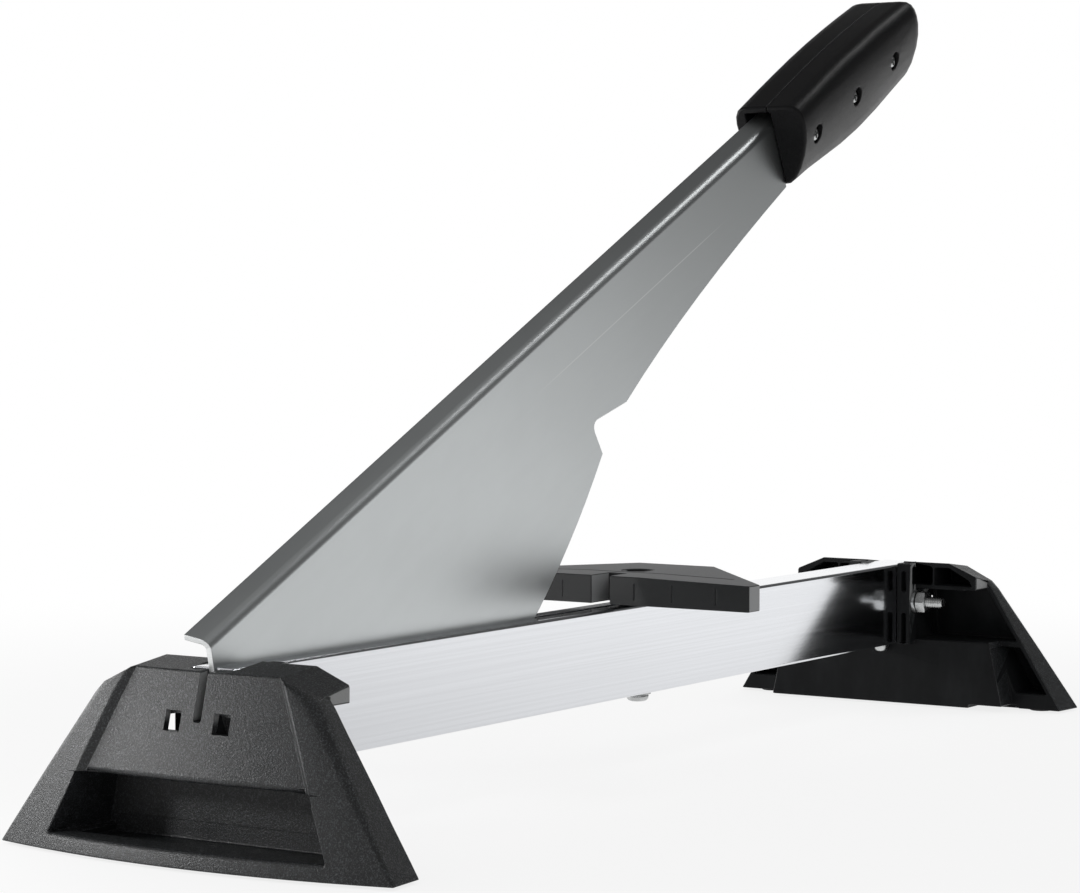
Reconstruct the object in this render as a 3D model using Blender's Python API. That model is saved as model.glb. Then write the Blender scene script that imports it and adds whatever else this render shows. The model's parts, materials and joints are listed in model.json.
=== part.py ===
"""Laminate cutter: a hand lever with a blade that drops through a slotted bar between two feet.

Blender 4.5, metres, +Z up. +X runs along the bar from the pivot foot to the far foot, and the
origin is on the floor, midway between the feet. The lever is modelled in its own frame, x along
its flange and z square to it, and hangs from an empty on the pivot's axis.
"""
import math

import bmesh
import bpy
from mathutils import Matrix, Vector

# General clearances and fineness
GAP = 0.0003
SLIDE = 0.0005
OVERRUN = 0.004
ROUND_STEPS = 28
ROUND_FACETS = 3
FLAT = math.radians(0.005)
SMOOTH = math.radians(32.0)

# Bar: a rectangular tube, slotted for the blade
BAR_LENGTH = 0.570
BAR_WIDTH = 0.020
BAR_DEPTH = 0.0408
BAR_WALL = 0.002
BAR_EDGE_RADIUS = 0.0014
BAR_INSET = 0.0013
SLOT_WIDTH = 0.0036
SLOT_RUNOUT = 0.008
FLOOR_SLOT_WIDTH = 0.005

# Feet: one moulding, used at both ends
FOOT_RISE = 0.001
FOOT_HEIGHT = 0.0735
FOOT_DEPTH = 0.044
FOOT_HALF_BASE = 0.094
FOOT_HALF_SHOULDER = 0.0515
FOOT_HALF_TOP = 0.036
FOOT_WALL = 0.003
FOOT_TAPER = 0.003
FOOT_TOP_FALL = 0.0028
SHOULDER_DROP = 0.0085
SHOULDER_RISE = 0.0022
FRONT_WALL = 0.0045
FRONT_SETBACK = 0.0195
FRONT_BOW = 0.012
LEG_SETBACK = 0.013
LEG_WIDTH_BASE = 0.0243
LEG_FLOOR = 0.008
LEG_ROUND_BASE = 0.001
LEG_ROUND_SHOULDER = 0.006
LEG_ROUND_TOP = 0.0015
PANEL_RECESS = 0.003
PANEL_DRAFT = 0.003
PANEL_LIP = 0.0015
PANEL_LIP_DEPTH = 0.0066
POCKET_WALL = 0.004
POCKET_ROOF = 0.0025
POCKET_SILL = 0.0064
POCKET_SIDE_LOW = 0.0278
POCKET_SIDE_HIGH = 0.0169
SILL_DEPTH = 0.017
SILL_DROP = 0.003
SHELF_LIFT = 0.0026
RAIL_DEPTH = 0.0135
RAIL_FLOOR = 0.002
RAIL_ROOF = 0.0026
RAIL_DIVIDER = 0.027
RAIL_RIB = 0.0015
POST_WALL = 0.007
POST_LIP = 0.007
POST_DROP = 0.0006
POST_SLOT_WIDTH = 0.0026
POST_SLOT_WALL = 0.0022
POST_SLOT_DEPTH = 0.005
POST_SLOT_CLEAR = 0.0056
POST_SLOT_FOOT = 0.0011
POST_SLOT_DROP = 0.0035
NOTCH_WIDTH = 0.0036
NOTCH_DEPTH = 0.0212
WINDOW_SIZE = 0.0076
WINDOW_OFFSET = 0.0117
WINDOW_DROP = 0.0212
WINDOW_WALL = 0.0015
TOE_NOTCH_INSET = 0.025
TOE_NOTCH_LENGTH = 0.0215
TOE_NOTCH_HEIGHT = 0.0018
TOE_NOTCH_DEPTH = 0.014
PAD_DIAMETER = 0.012
PAD_SOCKET = 0.0015
PAD_INSET_X = 0.009
PAD_INSET_Y = 0.016

# Bolts through the feet: the pivot at the near end, a clamp at the far end
PIVOT_INSET = 0.017
PIVOT_DROP = 0.0192
BOLT_DIAMETER = 0.006
BOLT_HEAD_FLATS = 0.010
BOLT_HEAD_HEIGHT = 0.004
BOLT_TAIL = 0.0086
NUT_FLATS = 0.010
NUT_HEIGHT = 0.005
WASHER_DIAMETER = 0.0125
WASHER_THICKNESS = 0.0015
BUSH_DIAMETER = 0.012

# Plug inside the far end of the bar, and the screw that holds it
PLUG_LENGTH = 0.040
PLUG_SCREW_CLEAR = 0.0007
SMALL_HEAD_DIAMETER = 0.0074
SMALL_HEAD_HEIGHT = 0.0042
SMALL_SHANK_DIAMETER = 0.0035
PLUG_SCREW_LENGTH = 0.014

# Lever: blade plate with a bent flange, in the lever's own frame
LEVER_ANGLE = math.radians(26.0)
PLATE_THICKNESS = 0.0025
PLATE_HEEL = -0.0062
PLATE_TOP = 0.0320
FLANGE_WIDTH = 0.0108
FLANGE_TILT = math.radians(12.0)
BEND_RADIUS = 0.002
BEND_STEPS = 5
HUB_RADIUS = 0.014
HUB_STEPS = 10
EDGE_START = (0.056, -0.010)
BELLY = (0.176, -0.0775)
BELLY_ROUND = 0.008
TIP = (0.2704, -0.0343)
EDGE_RISE = 0.0045
EDGE_BULGE = 0.0029
CURVE_STEPS = 8
NOTCH_X = 0.2688
NOTCH_Z = -0.0185
NOTCH_RADIUS = 0.004
HOOK = (0.2983, -0.0230)
BACK_CONTROL = (0.3675, -0.0064)
BACK_END_Z = 0.0019

# Tang of the plate inside the handle
TANG_BOTTOM = 0.012
TANG_SETBACK = 0.0245

# Handle: two shells screwed together over the tang
HANDLE_START = 0.475
HANDLE_LENGTH = 0.1445
HANDLE_HALF_WIDTH = 0.0188
HANDLE_TOP = 0.0440
HANDLE_BOTTOM = 0.0030
HANDLE_CROWN = 0.0028
HANDLE_BELLY = 0.0042
HANDLE_END_ROUND = 0.015
HANDLE_END_FLAT = 0.14
HANDLE_NOSE_ROUND = 0.001
HANDLE_MOUTH = 0.010
HANDLE_MOUTH_RISE = 0.003
HANDLE_MOUTH_HALF = 0.0125
HANDLE_SCREW_FIRST = 0.0148
HANDLE_SCREW_LAST = 0.0395
HANDLE_SCREW_Z = 0.0233
HANDLE_SCREW_COUNT = 3
SCREW_WELL_DIAMETER = 0.009
SCREW_WELL_DEPTH = 0.0066
HANDLE_SCREW_HEAD = 0.0072
HANDLE_SCREW_HEAD_HEIGHT = 0.0028
HANDLE_SCREW_SHANK = 0.0036
HANDLE_SCREW_GRIP = 0.010
HANDLE_STATIONS = 14

# Half of the handle's section: shares of its half width and of its height, bottom to top
HANDLE_SECTION_SHARES = (
    (0.00, 0.00), (0.20, 0.015), (0.38, 0.07), (0.58, 0.19), (0.78, 0.36), (0.92, 0.53),
    (0.99, 0.68), (1.00, 0.79), (0.97, 0.88), (0.89, 0.95), (0.76, 0.99), (0.58, 1.00),
    (0.00, 1.00),
)

# Fence: the stop on the bar that the plank lies against
FENCE_REACH = 0.290
FENCE_FRONT = -0.032
FENCE_END_DEPTH = 0.0095
FENCE_GAP_DEPTH = 0.015
FENCE_REAR = 0.035
FENCE_HALF_WIDTH = 0.076
FENCE_HALF_REAR = 0.0200
FENCE_HEIGHT = 0.0139
FENCE_LIFT = 0.0012
FENCE_BOSS_DIAMETER = 0.018
FENCE_WING_FALL = 0.0012
FENCE_GAP_WIDTH = 0.0094
FENCE_GROOVE_X = -0.011
FENCE_GROOVE_WIDTH = 0.0012
FENCE_GROOVE_DEPTH = 0.0012
FENCE_GROOVE_MARGIN = 0.020
FENCE_WELL_DIAMETER = 0.015
FENCE_WELL_DEPTH = 0.003
FENCE_NUT_FLATS = 0.008
FENCE_NUT_HEIGHT = 0.004
FENCE_NUT_DEPTH = 0.0042
FENCE_SCREW_DIAMETER = 0.0048
FENCE_HEAD_DIAMETER = 0.010
FENCE_HEAD_HEIGHT = 0.003
FENCE_WASHER_DIAMETER = 0.012
FENCE_WASHER_THICKNESS = 0.001

# Where things meet, worked out from the sizes above
BAR_TOP = FOOT_RISE + FOOT_HEIGHT - BAR_INSET
BAR_BOTTOM = BAR_TOP - BAR_DEPTH
BAR_HALF = BAR_WIDTH / 2
BAR_END = BAR_LENGTH / 2
CAVITY_HALF = BAR_HALF - BAR_WALL
CAVITY_BOTTOM = BAR_BOTTOM + BAR_WALL
CAVITY_TOP = BAR_TOP - BAR_WALL
PIVOT_X = BAR_END - PIVOT_INSET
PIVOT_HEIGHT = BAR_TOP - PIVOT_DROP
SOCKET_HALF = BAR_HALF + GAP
POST_OUTER = SOCKET_HALF + POST_WALL
POST_INNER = PIVOT_X - POST_LIP
FOOT_REACH = BAR_END + FRONT_WALL + PANEL_RECESS + FRONT_SETBACK
FOOT_INNER = FOOT_REACH - FOOT_DEPTH
PLUG_SCREW_X = FOOT_INNER - PLUG_SCREW_CLEAR - SMALL_HEAD_DIAMETER / 2
FOOT_SHOULDER = FOOT_HEIGHT - SHOULDER_DROP
RAIL_BOTTOM = FOOT_HEIGHT - RAIL_DEPTH
SHELF_TOP = BAR_BOTTOM - FOOT_RISE + SHELF_LIFT
POCKET_CEILING = SHELF_TOP - POCKET_ROOF
PANEL_BOTTOM = POCKET_CEILING - PANEL_LIP
PANEL_HALF_BASE = FOOT_HALF_BASE - LEG_WIDTH_BASE
PANEL_HALF_TOP = FOOT_HALF_TOP + GAP
POCKET_BACK = FOOT_INNER + POCKET_WALL
LEG_INNER = FOOT_INNER + LEG_SETBACK
PAD_X = LEG_INNER + PAD_INSET_X
PAD_Y = FOOT_HALF_BASE - PAD_INSET_Y
PLATE_HALF = PLATE_THICKNESS / 2
FENCE_X = FENCE_REACH - PIVOT_X
FENCE_SEAT = BAR_TOP + GAP
FENCE_TOP = FENCE_SEAT + FENCE_HEIGHT
HANDLE_END = HANDLE_START + HANDLE_LENGTH
TANG_END = HANDLE_END - TANG_SETBACK
SCREW_SEAT = HANDLE_HALF_WIDTH - SCREW_WELL_DEPTH

# Finishes: base colour, roughness, metallic
FINISHES = {
    "moulded_plastic": ((0.028, 0.030, 0.032), 0.62, 0.0),
    "grip_plastic": ((0.012, 0.012, 0.013), 0.38, 0.0),
    "fence_plastic": ((0.020, 0.021, 0.023), 0.50, 0.0),
    "pad_rubber": ((0.010, 0.010, 0.010), 0.85, 0.0),
    "bar_aluminium": ((0.80, 0.81, 0.83), 0.24, 1.0),
    "blade_steel": ((0.55, 0.58, 0.58), 0.34, 1.0),
    "zinc_steel": ((0.62, 0.63, 0.64), 0.30, 1.0),
    "bush_plastic": ((0.60, 0.60, 0.57), 0.55, 0.0),
}


def clear_scene():
    """Remove the objects that the file opened with."""
    for obj in list(bpy.data.objects):
        bpy.data.objects.remove(obj, do_unlink=True)


def finish_material(name):
    """The Principled material of one finish, made once."""
    material = bpy.data.materials.get(name)
    if material:
        return material
    colour, roughness, metallic = FINISHES[name]
    material = bpy.data.materials.new(name)
    material.use_nodes = True
    shader = material.node_tree.nodes["Principled BSDF"]
    shader.inputs["Base Color"].default_value = (*colour, 1.0)
    shader.inputs["Roughness"].default_value = roughness
    shader.inputs["Metallic"].default_value = metallic
    material.diffuse_color = (*colour, 1.0)
    return material


def new_object(name, mesh):
    """Link a mesh into the scene under a name."""
    obj = bpy.data.objects.new(name, mesh)
    bpy.context.scene.collection.objects.link(obj)
    return obj


def mesh_from(bm, name):
    """Turn a bmesh into a mesh whose faces point outwards, with flat areas as single faces."""
    bmesh.ops.recalc_face_normals(bm, faces=bm.faces)
    bmesh.ops.dissolve_limit(bm, angle_limit=FLAT, verts=bm.verts, edges=bm.edges)
    mesh = bpy.data.meshes.new(name)
    bm.to_mesh(mesh)
    bm.free()
    return mesh


def grid_solid(front, back):
    """Close two equal grids of points, rows of columns, into one body of flat triangles."""
    bm = bmesh.new()
    rows, columns = len(front), len(front[0])
    sheets = [[[bm.verts.new(point) for point in row] for row in sheet] for sheet in (front, back)]
    for sheet in sheets:
        for i in range(rows - 1):
            for j in range(columns - 1):
                bm.faces.new((sheet[i][j], sheet[i][j + 1], sheet[i + 1][j + 1], sheet[i + 1][j]))
    near, far = sheets
    for i in range(rows - 1):
        for j in (0, columns - 1):
            bm.faces.new((near[i][j], near[i + 1][j], far[i + 1][j], far[i][j]))
    for j in range(columns - 1):
        for i in (0, rows - 1):
            bm.faces.new((near[i][j], near[i][j + 1], far[i][j + 1], far[i][j]))
    bmesh.ops.triangulate(bm, faces=bm.faces)
    return bm


def prism(outline, start, end, axis='Z'):
    """Extrude a flat outline between two heights along an axis."""
    def place(u, v, w):
        if axis == 'X':
            return Vector((w, u, v))
        if axis == 'Y':
            return Vector((u, w, v))
        return Vector((u, v, w))
    bm = bmesh.new()
    low = [bm.verts.new(place(u, v, start)) for u, v in outline]
    high = [bm.verts.new(place(u, v, end)) for u, v in outline]
    bm.faces.new(low)
    bm.faces.new(high)
    for i, vert in enumerate(low):
        after = (i + 1) % len(low)
        bm.faces.new((vert, low[after], high[after], high[i]))
    return bm


def box(x_span, y_span, z_span):
    """A box from its spans along the three axes."""
    (x0, x1), (y0, y1) = x_span, y_span
    return prism([(x0, y0), (x1, y0), (x1, y1), (x0, y1)], *z_span)


def regular_outline(radius, sides, centre=(0.0, 0.0), turn=0.0):
    """Corners of a regular polygon."""
    angles = [turn + math.tau * i / sides for i in range(sides)]
    return [(centre[0] + radius * math.cos(a), centre[1] + radius * math.sin(a)) for a in angles]


def hexagon(flats, centre=(0.0, 0.0)):
    """Outline of a nut or a hexagon head from its width across the flats."""
    return regular_outline(flats / math.sqrt(3), 6, centre)


def rod(diameter, start, end, centre=(0.0, 0.0), axis='Z'):
    """A round bar along an axis."""
    return prism(regular_outline(diameter / 2, ROUND_STEPS, centre), start, end, axis)


def bezier(start, control, end, steps):
    """Points on a quadratic curve, the start left out."""
    points = []
    for i in range(1, steps + 1):
        t = i / steps
        weights = ((1 - t) ** 2, 2 * t * (1 - t), t * t)
        points.append(tuple(sum(w * p[k] for w, p in zip(weights, (start, control, end)))
                            for k in range(2)))
    return points


def apply_booleans(name, base, cutters=(), additions=()):
    """Join additions to a base body, cut the cutters from it and return the finished mesh."""
    target = new_object(name, mesh_from(base, name))
    tools = []
    for operation, bodies in (('UNION', additions), ('DIFFERENCE', cutters)):
        for body in bodies:
            tool = new_object(name + "_tool", mesh_from(body, name + "_tool"))
            tool.hide_render = True
            tool.display_type = 'WIRE'
            tools.append(tool)
            modifier = target.modifiers.new(operation.lower(), 'BOOLEAN')
            modifier.operation = operation
            modifier.solver = 'EXACT'
            modifier.object = tool
    bpy.context.view_layer.update()
    evaluated = target.evaluated_get(bpy.context.evaluated_depsgraph_get())
    mesh = bpy.data.meshes.new_from_object(evaluated)
    for obj in (target, *tools):
        bpy.data.objects.remove(obj, do_unlink=True)
    return mesh


def piece(name, mesh, finish, parent=None, smooth_below=None):
    """A named sub-part with its finish, hung on its parent."""
    obj = new_object(name, mesh)
    mesh.materials.clear()
    mesh.materials.append(finish_material(finish))
    if smooth_below:
        mesh.shade_smooth()
        mesh.set_sharp_from_angle(angle=smooth_below)
    if parent:
        obj.parent = parent
    return obj


# Bar

def rounded_rectangle(half_width, bottom, top, radius, steps):
    """Outline of the bar's section in y and z, with rounded long edges."""
    corners = (
        (half_width - radius, bottom + radius, -math.pi / 2),
        (half_width - radius, top - radius, 0.0),
        (radius - half_width, top - radius, math.pi / 2),
        (radius - half_width, bottom + radius, math.pi),
    )
    points = []
    for y, z, start in corners:
        for i in range(steps + 1):
            angle = start + math.pi / 2 * i / steps
            points.append((y + radius * math.cos(angle), z + radius * math.sin(angle)))
    return points


def lever_to_world(point, angle):
    """World x and z of a point of the lever, with the lever raised by an angle."""
    x, z = point
    return (x * math.cos(angle) - z * math.sin(angle) - PIVOT_X,
            x * math.sin(angle) + z * math.cos(angle) + PIVOT_HEIGHT)


def closed_angle():
    """The lever's angle when its hook lies on the fence."""
    reach = math.hypot(*HOOK)
    rise = FENCE_TOP + SLIDE - PIVOT_HEIGHT
    return math.asin(rise / reach) - math.atan2(HOOK[1], HOOK[0])


def floor_slot_span():
    """Where the closed blade hangs through the bar's bottom wall."""
    hanging = [x for x, z in (lever_to_world(p, closed_angle()) for p in blade_edge())
               if z < CAVITY_BOTTOM + SLOT_RUNOUT]
    return min(hanging) - SLOT_RUNOUT, max(hanging) + SLOT_RUNOUT


def bar_mesh():
    """A tube with a blade slot in its top, a shorter one in its bottom, and its holes."""
    section = rounded_rectangle(BAR_HALF, BAR_BOTTOM, BAR_TOP, BAR_EDGE_RADIUS, 3)
    base = prism(section, -BAR_END, BAR_END, 'X')
    beyond = BAR_END + OVERRUN
    across = (-BAR_HALF - OVERRUN, BAR_HALF + OVERRUN)
    slot_end = math.hypot(*TIP) - PIVOT_X + SLOT_RUNOUT
    hole = BOLT_DIAMETER + 2 * SLIDE
    cutters = [
        box((-beyond, beyond), (-CAVITY_HALF, CAVITY_HALF), (CAVITY_BOTTOM, CAVITY_TOP)),
        box((-beyond, slot_end), (-SLOT_WIDTH / 2, SLOT_WIDTH / 2),
            (CAVITY_TOP - BAR_WALL, BAR_TOP + OVERRUN)),
        box(floor_slot_span(), (-FLOOR_SLOT_WIDTH / 2, FLOOR_SLOT_WIDTH / 2),
            (BAR_BOTTOM - OVERRUN, CAVITY_BOTTOM + BAR_WALL)),
        rod(FENCE_SCREW_DIAMETER + 2 * SLIDE, BAR_BOTTOM - OVERRUN, BAR_TOP + OVERRUN,
            (FENCE_X, 0.0)),
        rod(SMALL_SHANK_DIAMETER + 2 * SLIDE, BAR_BOTTOM - OVERRUN, CAVITY_BOTTOM + BAR_WALL,
            (PLUG_SCREW_X, 0.0)),
    ]
    cutters += [rod(hole, *across, (x, PIVOT_HEIGHT), 'Y') for x in (-PIVOT_X, PIVOT_X)]
    return apply_booleans("bar", base, cutters)


def plug_mesh():
    """The block inside the far end of the bar, which keeps the clamp bolt from crushing it."""
    half = CAVITY_HALF - GAP
    start, end = BAR_END - GAP - PLUG_LENGTH, BAR_END - GAP
    base = box((start, end), (-half, half), (CAVITY_BOTTOM + GAP, CAVITY_TOP - GAP))
    cutters = [
        rod(BOLT_DIAMETER + 2 * SLIDE, -half - OVERRUN, half + OVERRUN, (PIVOT_X, PIVOT_HEIGHT), 'Y'),
        rod(SMALL_SHANK_DIAMETER + 2 * GAP, CAVITY_BOTTOM - OVERRUN,
            BAR_BOTTOM + PLUG_SCREW_LENGTH + SLIDE, (PLUG_SCREW_X, 0.0)),
    ]
    return apply_booleans("bar_plug", base, cutters)


# Feet. Heights here are taken from the foot's own underside, FOOT_RISE above the floor.

def foot_half(height):
    """Half width of the foot's front at a height."""
    if height < FOOT_SHOULDER:
        return FOOT_HALF_BASE + (FOOT_HALF_SHOULDER - FOOT_HALF_BASE) * height / FOOT_SHOULDER
    share = (height - FOOT_SHOULDER) / (FOOT_HEIGHT - FOOT_SHOULDER)
    return FOOT_HALF_SHOULDER + (FOOT_HALF_TOP - FOOT_HALF_SHOULDER) * share


def leg_round(height):
    """Radius of the front's outer corner at a height."""
    if height < FOOT_SHOULDER:
        return LEG_ROUND_BASE + (LEG_ROUND_SHOULDER - LEG_ROUND_BASE) * height / FOOT_SHOULDER
    share = (height - FOOT_SHOULDER) / (FOOT_HEIGHT - FOOT_SHOULDER)
    return LEG_ROUND_SHOULDER + (LEG_ROUND_TOP - LEG_ROUND_SHOULDER) * share


def panel_half(height):
    """Half width between the legs' inner edges at a height."""
    return PANEL_HALF_BASE + (PANEL_HALF_TOP - PANEL_HALF_BASE) * height / FOOT_HEIGHT


def pocket_back_half(height):
    """Half width of the grip pocket's back wall at a height."""
    share = (height - POCKET_SILL) / (POCKET_CEILING - POCKET_SILL)
    side = POCKET_SIDE_LOW + (POCKET_SIDE_HIGH - POCKET_SIDE_LOW) * share
    return foot_half(height) - side


def front_x(y, height):
    """The bowed, leaning front of the near foot."""
    return -FOOT_REACH + FRONT_SETBACK * height / FOOT_HEIGHT + FRONT_BOW * (y / FOOT_HALF_BASE) ** 2


def panel_recess(heights, columns):
    """What is cut away in front of the panel, narrower at its floor than at the legs' edges."""
    shares = [2 * j / columns - 1 for j in range(columns + 1)]
    outward = OVERRUN * PANEL_DRAFT / PANEL_RECESS
    sheets = []
    for offset, spread in ((-OVERRUN, outward), (PANEL_RECESS, -PANEL_DRAFT)):
        sheets.append([[(front_x(s * (panel_half(h) + spread), h) + offset,
                         s * (panel_half(h) + spread), h + FOOT_RISE)
                        for s in shares] for h in heights])
    return grid_solid(*sheets)


def front_to_plane(heights, front_span, plane_span, offset, plane_x, columns):
    """A body from the offset front to a plane, each with its own span of y at a height."""
    sheets = ([], [])
    for h in heights:
        rows = ([], [])
        for j in range(columns + 1):
            share = j / columns
            for row, span in zip(rows, (front_span, plane_span)):
                low, high = span(h)
                row.append(low + (high - low) * share)
        sheets[0].append([(front_x(y, h) + offset, y, h + FOOT_RISE) for y in rows[0]])
        sheets[1].append([(plane_x, y, h + FOOT_RISE) for y in rows[1]])
    return grid_solid(*sheets)


def foot_shell():
    """The outside of the foot, from its bowed front to its inner face."""
    heights = (0.0, POCKET_SILL, PANEL_BOTTOM, RAIL_BOTTOM, FOOT_SHOULDER, FOOT_HEIGHT)
    columns = 14
    turns = [math.pi / 2 * i / ROUND_FACETS for i in range(ROUND_FACETS + 1)]
    front, back = [], []
    for h in heights:
        fall = FOOT_TOP_FALL * max(0.0, h - RAIL_BOTTOM) / (FOOT_HEIGHT - RAIL_BOTTOM)
        radius = leg_round(h)
        inner = foot_half(h) - radius
        places = [((2 * j / columns - 1) * inner, 0.0) for j in range(columns + 1)]
        corner = [(inner + radius * math.sin(a), radius * (1 - math.cos(a))) for a in turns[1:]]
        places = [(-y, x) for y, x in corner[::-1]] + places + corner
        front.append([(front_x(y, h) + x, y, h + FOOT_RISE - fall) for y, x in places])
        taper = 1 - FOOT_TAPER * (1 - h / FOOT_HEIGHT) / foot_half(h)
        rise = SHOULDER_RISE if h == FOOT_SHOULDER else 0.0
        back.append([(-FOOT_INNER, y * taper, h + FOOT_RISE + rise) for y, _ in places])
    return grid_solid(front, back)


def mirrored(make):
    """The body that make builds for the +Y side, and its mirror image."""
    body, twin = make(), make()
    bmesh.ops.transform(twin, matrix=Matrix.Diagonal((1, -1, 1, 1)), verts=twin.verts)
    return [body, twin]


def leg_hollow():
    """The hollow low in one leg, open at the inner side."""
    return front_to_plane(
        (LEG_FLOOR, SHELF_TOP - FOOT_WALL),
        lambda h: (panel_half(h) + FOOT_WALL, foot_half(h) - FOOT_WALL),
        lambda h: (pocket_back_half(h) + FOOT_WALL, foot_half(h) - FOOT_TAPER - FOOT_WALL),
        FOOT_WALL, -POST_INNER + OVERRUN, 4)


def upper_hollow():
    """The hollow beside the post, above the shelf and below the top rail."""
    return front_to_plane(
        (SHELF_TOP, RAIL_BOTTOM),
        lambda h: (POST_OUTER, foot_half(h) - FOOT_WALL),
        lambda h: (POST_OUTER, foot_half(h) - FOOT_TAPER - FOOT_WALL),
        PANEL_RECESS + FOOT_WALL, -POST_INNER + OVERRUN, 6)


def window_hollow():
    """The space behind a window, in front of the post."""
    return front_to_plane(
        (SHELF_TOP + GAP, RAIL_BOTTOM - GAP),
        lambda h: (WINDOW_OFFSET - WINDOW_SIZE / 2 - WINDOW_WALL, POST_OUTER + OVERRUN),
        lambda h: (SOCKET_HALF + WINDOW_WALL, POST_OUTER + OVERRUN),
        PANEL_RECESS + FOOT_WALL, -BAR_END - WINDOW_WALL, 3)


def rail_cell(inner, outer):
    """One hollow cell of the top rail, under its sloping shoulder."""
    top = FOOT_HEIGHT - RAIL_ROOF

    def span(h):
        return inner, min(outer, foot_half(h) - FOOT_TAPER - FOOT_WALL / 2)
    heights = (RAIL_BOTTOM + RAIL_FLOOR, FOOT_SHOULDER, top)
    return front_to_plane(heights, span, span, PANEL_RECESS + FOOT_WALL, -FOOT_INNER + OVERRUN, 2)


def side_relief():
    """What is cut away where the legs stop short of the inner face."""
    inner = {h: pocket_back_half(h) + FOOT_WALL for h in (-OVERRUN, SHELF_TOP)}
    inner[RAIL_BOTTOM + GAP] = foot_half(RAIL_BOTTOM) - FOOT_TAPER - FOOT_WALL - OVERRUN

    def sheet(x):
        return [[(x, y, h + FOOT_RISE) for y in (inner[h], FOOT_HALF_BASE + OVERRUN)]
                for h in inner]
    return grid_solid(sheet(-LEG_INNER), sheet(-FOOT_INNER + OVERRUN))


def rail_end():
    """What is cut from the rail's end, so that it ends square below the shoulder."""
    return box((-LEG_INNER, -FOOT_INNER + OVERRUN),
               (FOOT_HALF_SHOULDER, FOOT_HALF_BASE + OVERRUN),
               (FOOT_RISE + RAIL_BOTTOM - GAP, FOOT_RISE + FOOT_SHOULDER + SHOULDER_RISE))


def toe_notch():
    """The low notch in the inner face's bottom edge, on one side only."""
    end = FOOT_HALF_BASE - TOE_NOTCH_INSET
    return box((-FOOT_INNER - TOE_NOTCH_DEPTH, -FOOT_INNER + OVERRUN),
               (end - TOE_NOTCH_LENGTH, end), (FOOT_RISE - OVERRUN, FOOT_RISE + TOE_NOTCH_HEIGHT))


def pad_socket():
    """The shallow seat of one rubber pad."""
    return rod(PAD_DIAMETER + 2 * GAP, FOOT_RISE - OVERRUN, FOOT_RISE + PAD_SOCKET, (-PAD_X, PAD_Y))


def window():
    """One square window in the front panel."""
    half = WINDOW_SIZE / 2
    height = FOOT_HEIGHT - WINDOW_DROP
    low = FOOT_RISE + height - half
    inside = front_x(WINDOW_OFFSET + half, height) + PANEL_RECESS + FOOT_WALL + SLIDE
    return box((-FOOT_REACH, inside), (WINDOW_OFFSET - half, WINDOW_OFFSET + half),
               (low, low + WINDOW_SIZE))


def post_slots():
    """The two upright slots in a post's inner face, below and above its bolt."""
    inner = SOCKET_HALF + POST_SLOT_WALL
    spans = (
        (BAR_BOTTOM + POST_SLOT_FOOT, PIVOT_HEIGHT - POST_SLOT_CLEAR),
        (PIVOT_HEIGHT + POST_SLOT_CLEAR, BAR_TOP - POST_SLOT_DROP),
    )
    return [box((-POST_INNER - POST_SLOT_DEPTH, -POST_INNER + OVERRUN),
                (inner, inner + POST_SLOT_WIDTH), span) for span in spans]


def foot_mesh():
    """The near foot: shell, panel, grip pocket, hollows, post and holes."""
    heights = (PANEL_BOTTOM - OVERRUN, FOOT_SHOULDER, FOOT_HEIGHT + OVERRUN)
    posts = box((-FOOT_INNER - OVERRUN, -POST_INNER), (-POST_OUTER, POST_OUTER),
                (BAR_BOTTOM, FOOT_RISE + FOOT_HEIGHT - POST_DROP))

    def wide(h):
        return -panel_half(h), panel_half(h)

    def narrow(h):
        return -pocket_back_half(h), pocket_back_half(h)

    def roof(h):
        return GAP - pocket_back_half(POCKET_CEILING), pocket_back_half(POCKET_CEILING) - GAP
    sill_half = pocket_back_half(POCKET_SILL) - FOOT_WALL
    cutters = [
        panel_recess(heights, 14),
        front_to_plane((POCKET_SILL, PANEL_BOTTOM), wide, narrow, -OVERRUN, -POCKET_BACK, 14),
        front_to_plane((PANEL_BOTTOM - OVERRUN, POCKET_CEILING), roof, roof,
                       PANEL_RECESS + PANEL_LIP_DEPTH, -POCKET_BACK - GAP, 14),
        box((-FOOT_REACH + SILL_DEPTH, -POCKET_BACK + GAP), (-sill_half, sill_half),
            (FOOT_RISE + SILL_DROP, FOOT_RISE + POCKET_SILL + OVERRUN)),
        box((-BAR_END - GAP, -POST_INNER + OVERRUN), (-SOCKET_HALF, SOCKET_HALF),
            (BAR_BOTTOM - GAP, FOOT_RISE + FOOT_HEIGHT + OVERRUN)),
        box((-FOOT_REACH, -BAR_END + OVERRUN), (-NOTCH_WIDTH / 2, NOTCH_WIDTH / 2),
            (FOOT_RISE + FOOT_HEIGHT - NOTCH_DEPTH, FOOT_RISE + FOOT_HEIGHT + OVERRUN)),
        rod(BOLT_DIAMETER + 2 * SLIDE, -POST_OUTER - OVERRUN, POST_OUTER + OVERRUN,
            (-PIVOT_X, PIVOT_HEIGHT), 'Y'),
        toe_notch(),
    ]
    makers = (leg_hollow, upper_hollow, window_hollow, side_relief, rail_end, pad_socket, window)
    for make in makers:
        cutters += mirrored(make)
    for number in range(len(post_slots())):
        cutters += mirrored(lambda: post_slots()[number])
    rib = RAIL_RIB / 2
    cells = ((POST_OUTER - FOOT_WALL, RAIL_DIVIDER - rib), (RAIL_DIVIDER + rib, FOOT_HALF_SHOULDER))
    for inner, outer in cells:
        cutters += mirrored(lambda: rail_cell(inner, outer))
    return apply_booleans("foot", foot_shell(), cutters, [posts])


# Lever

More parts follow.
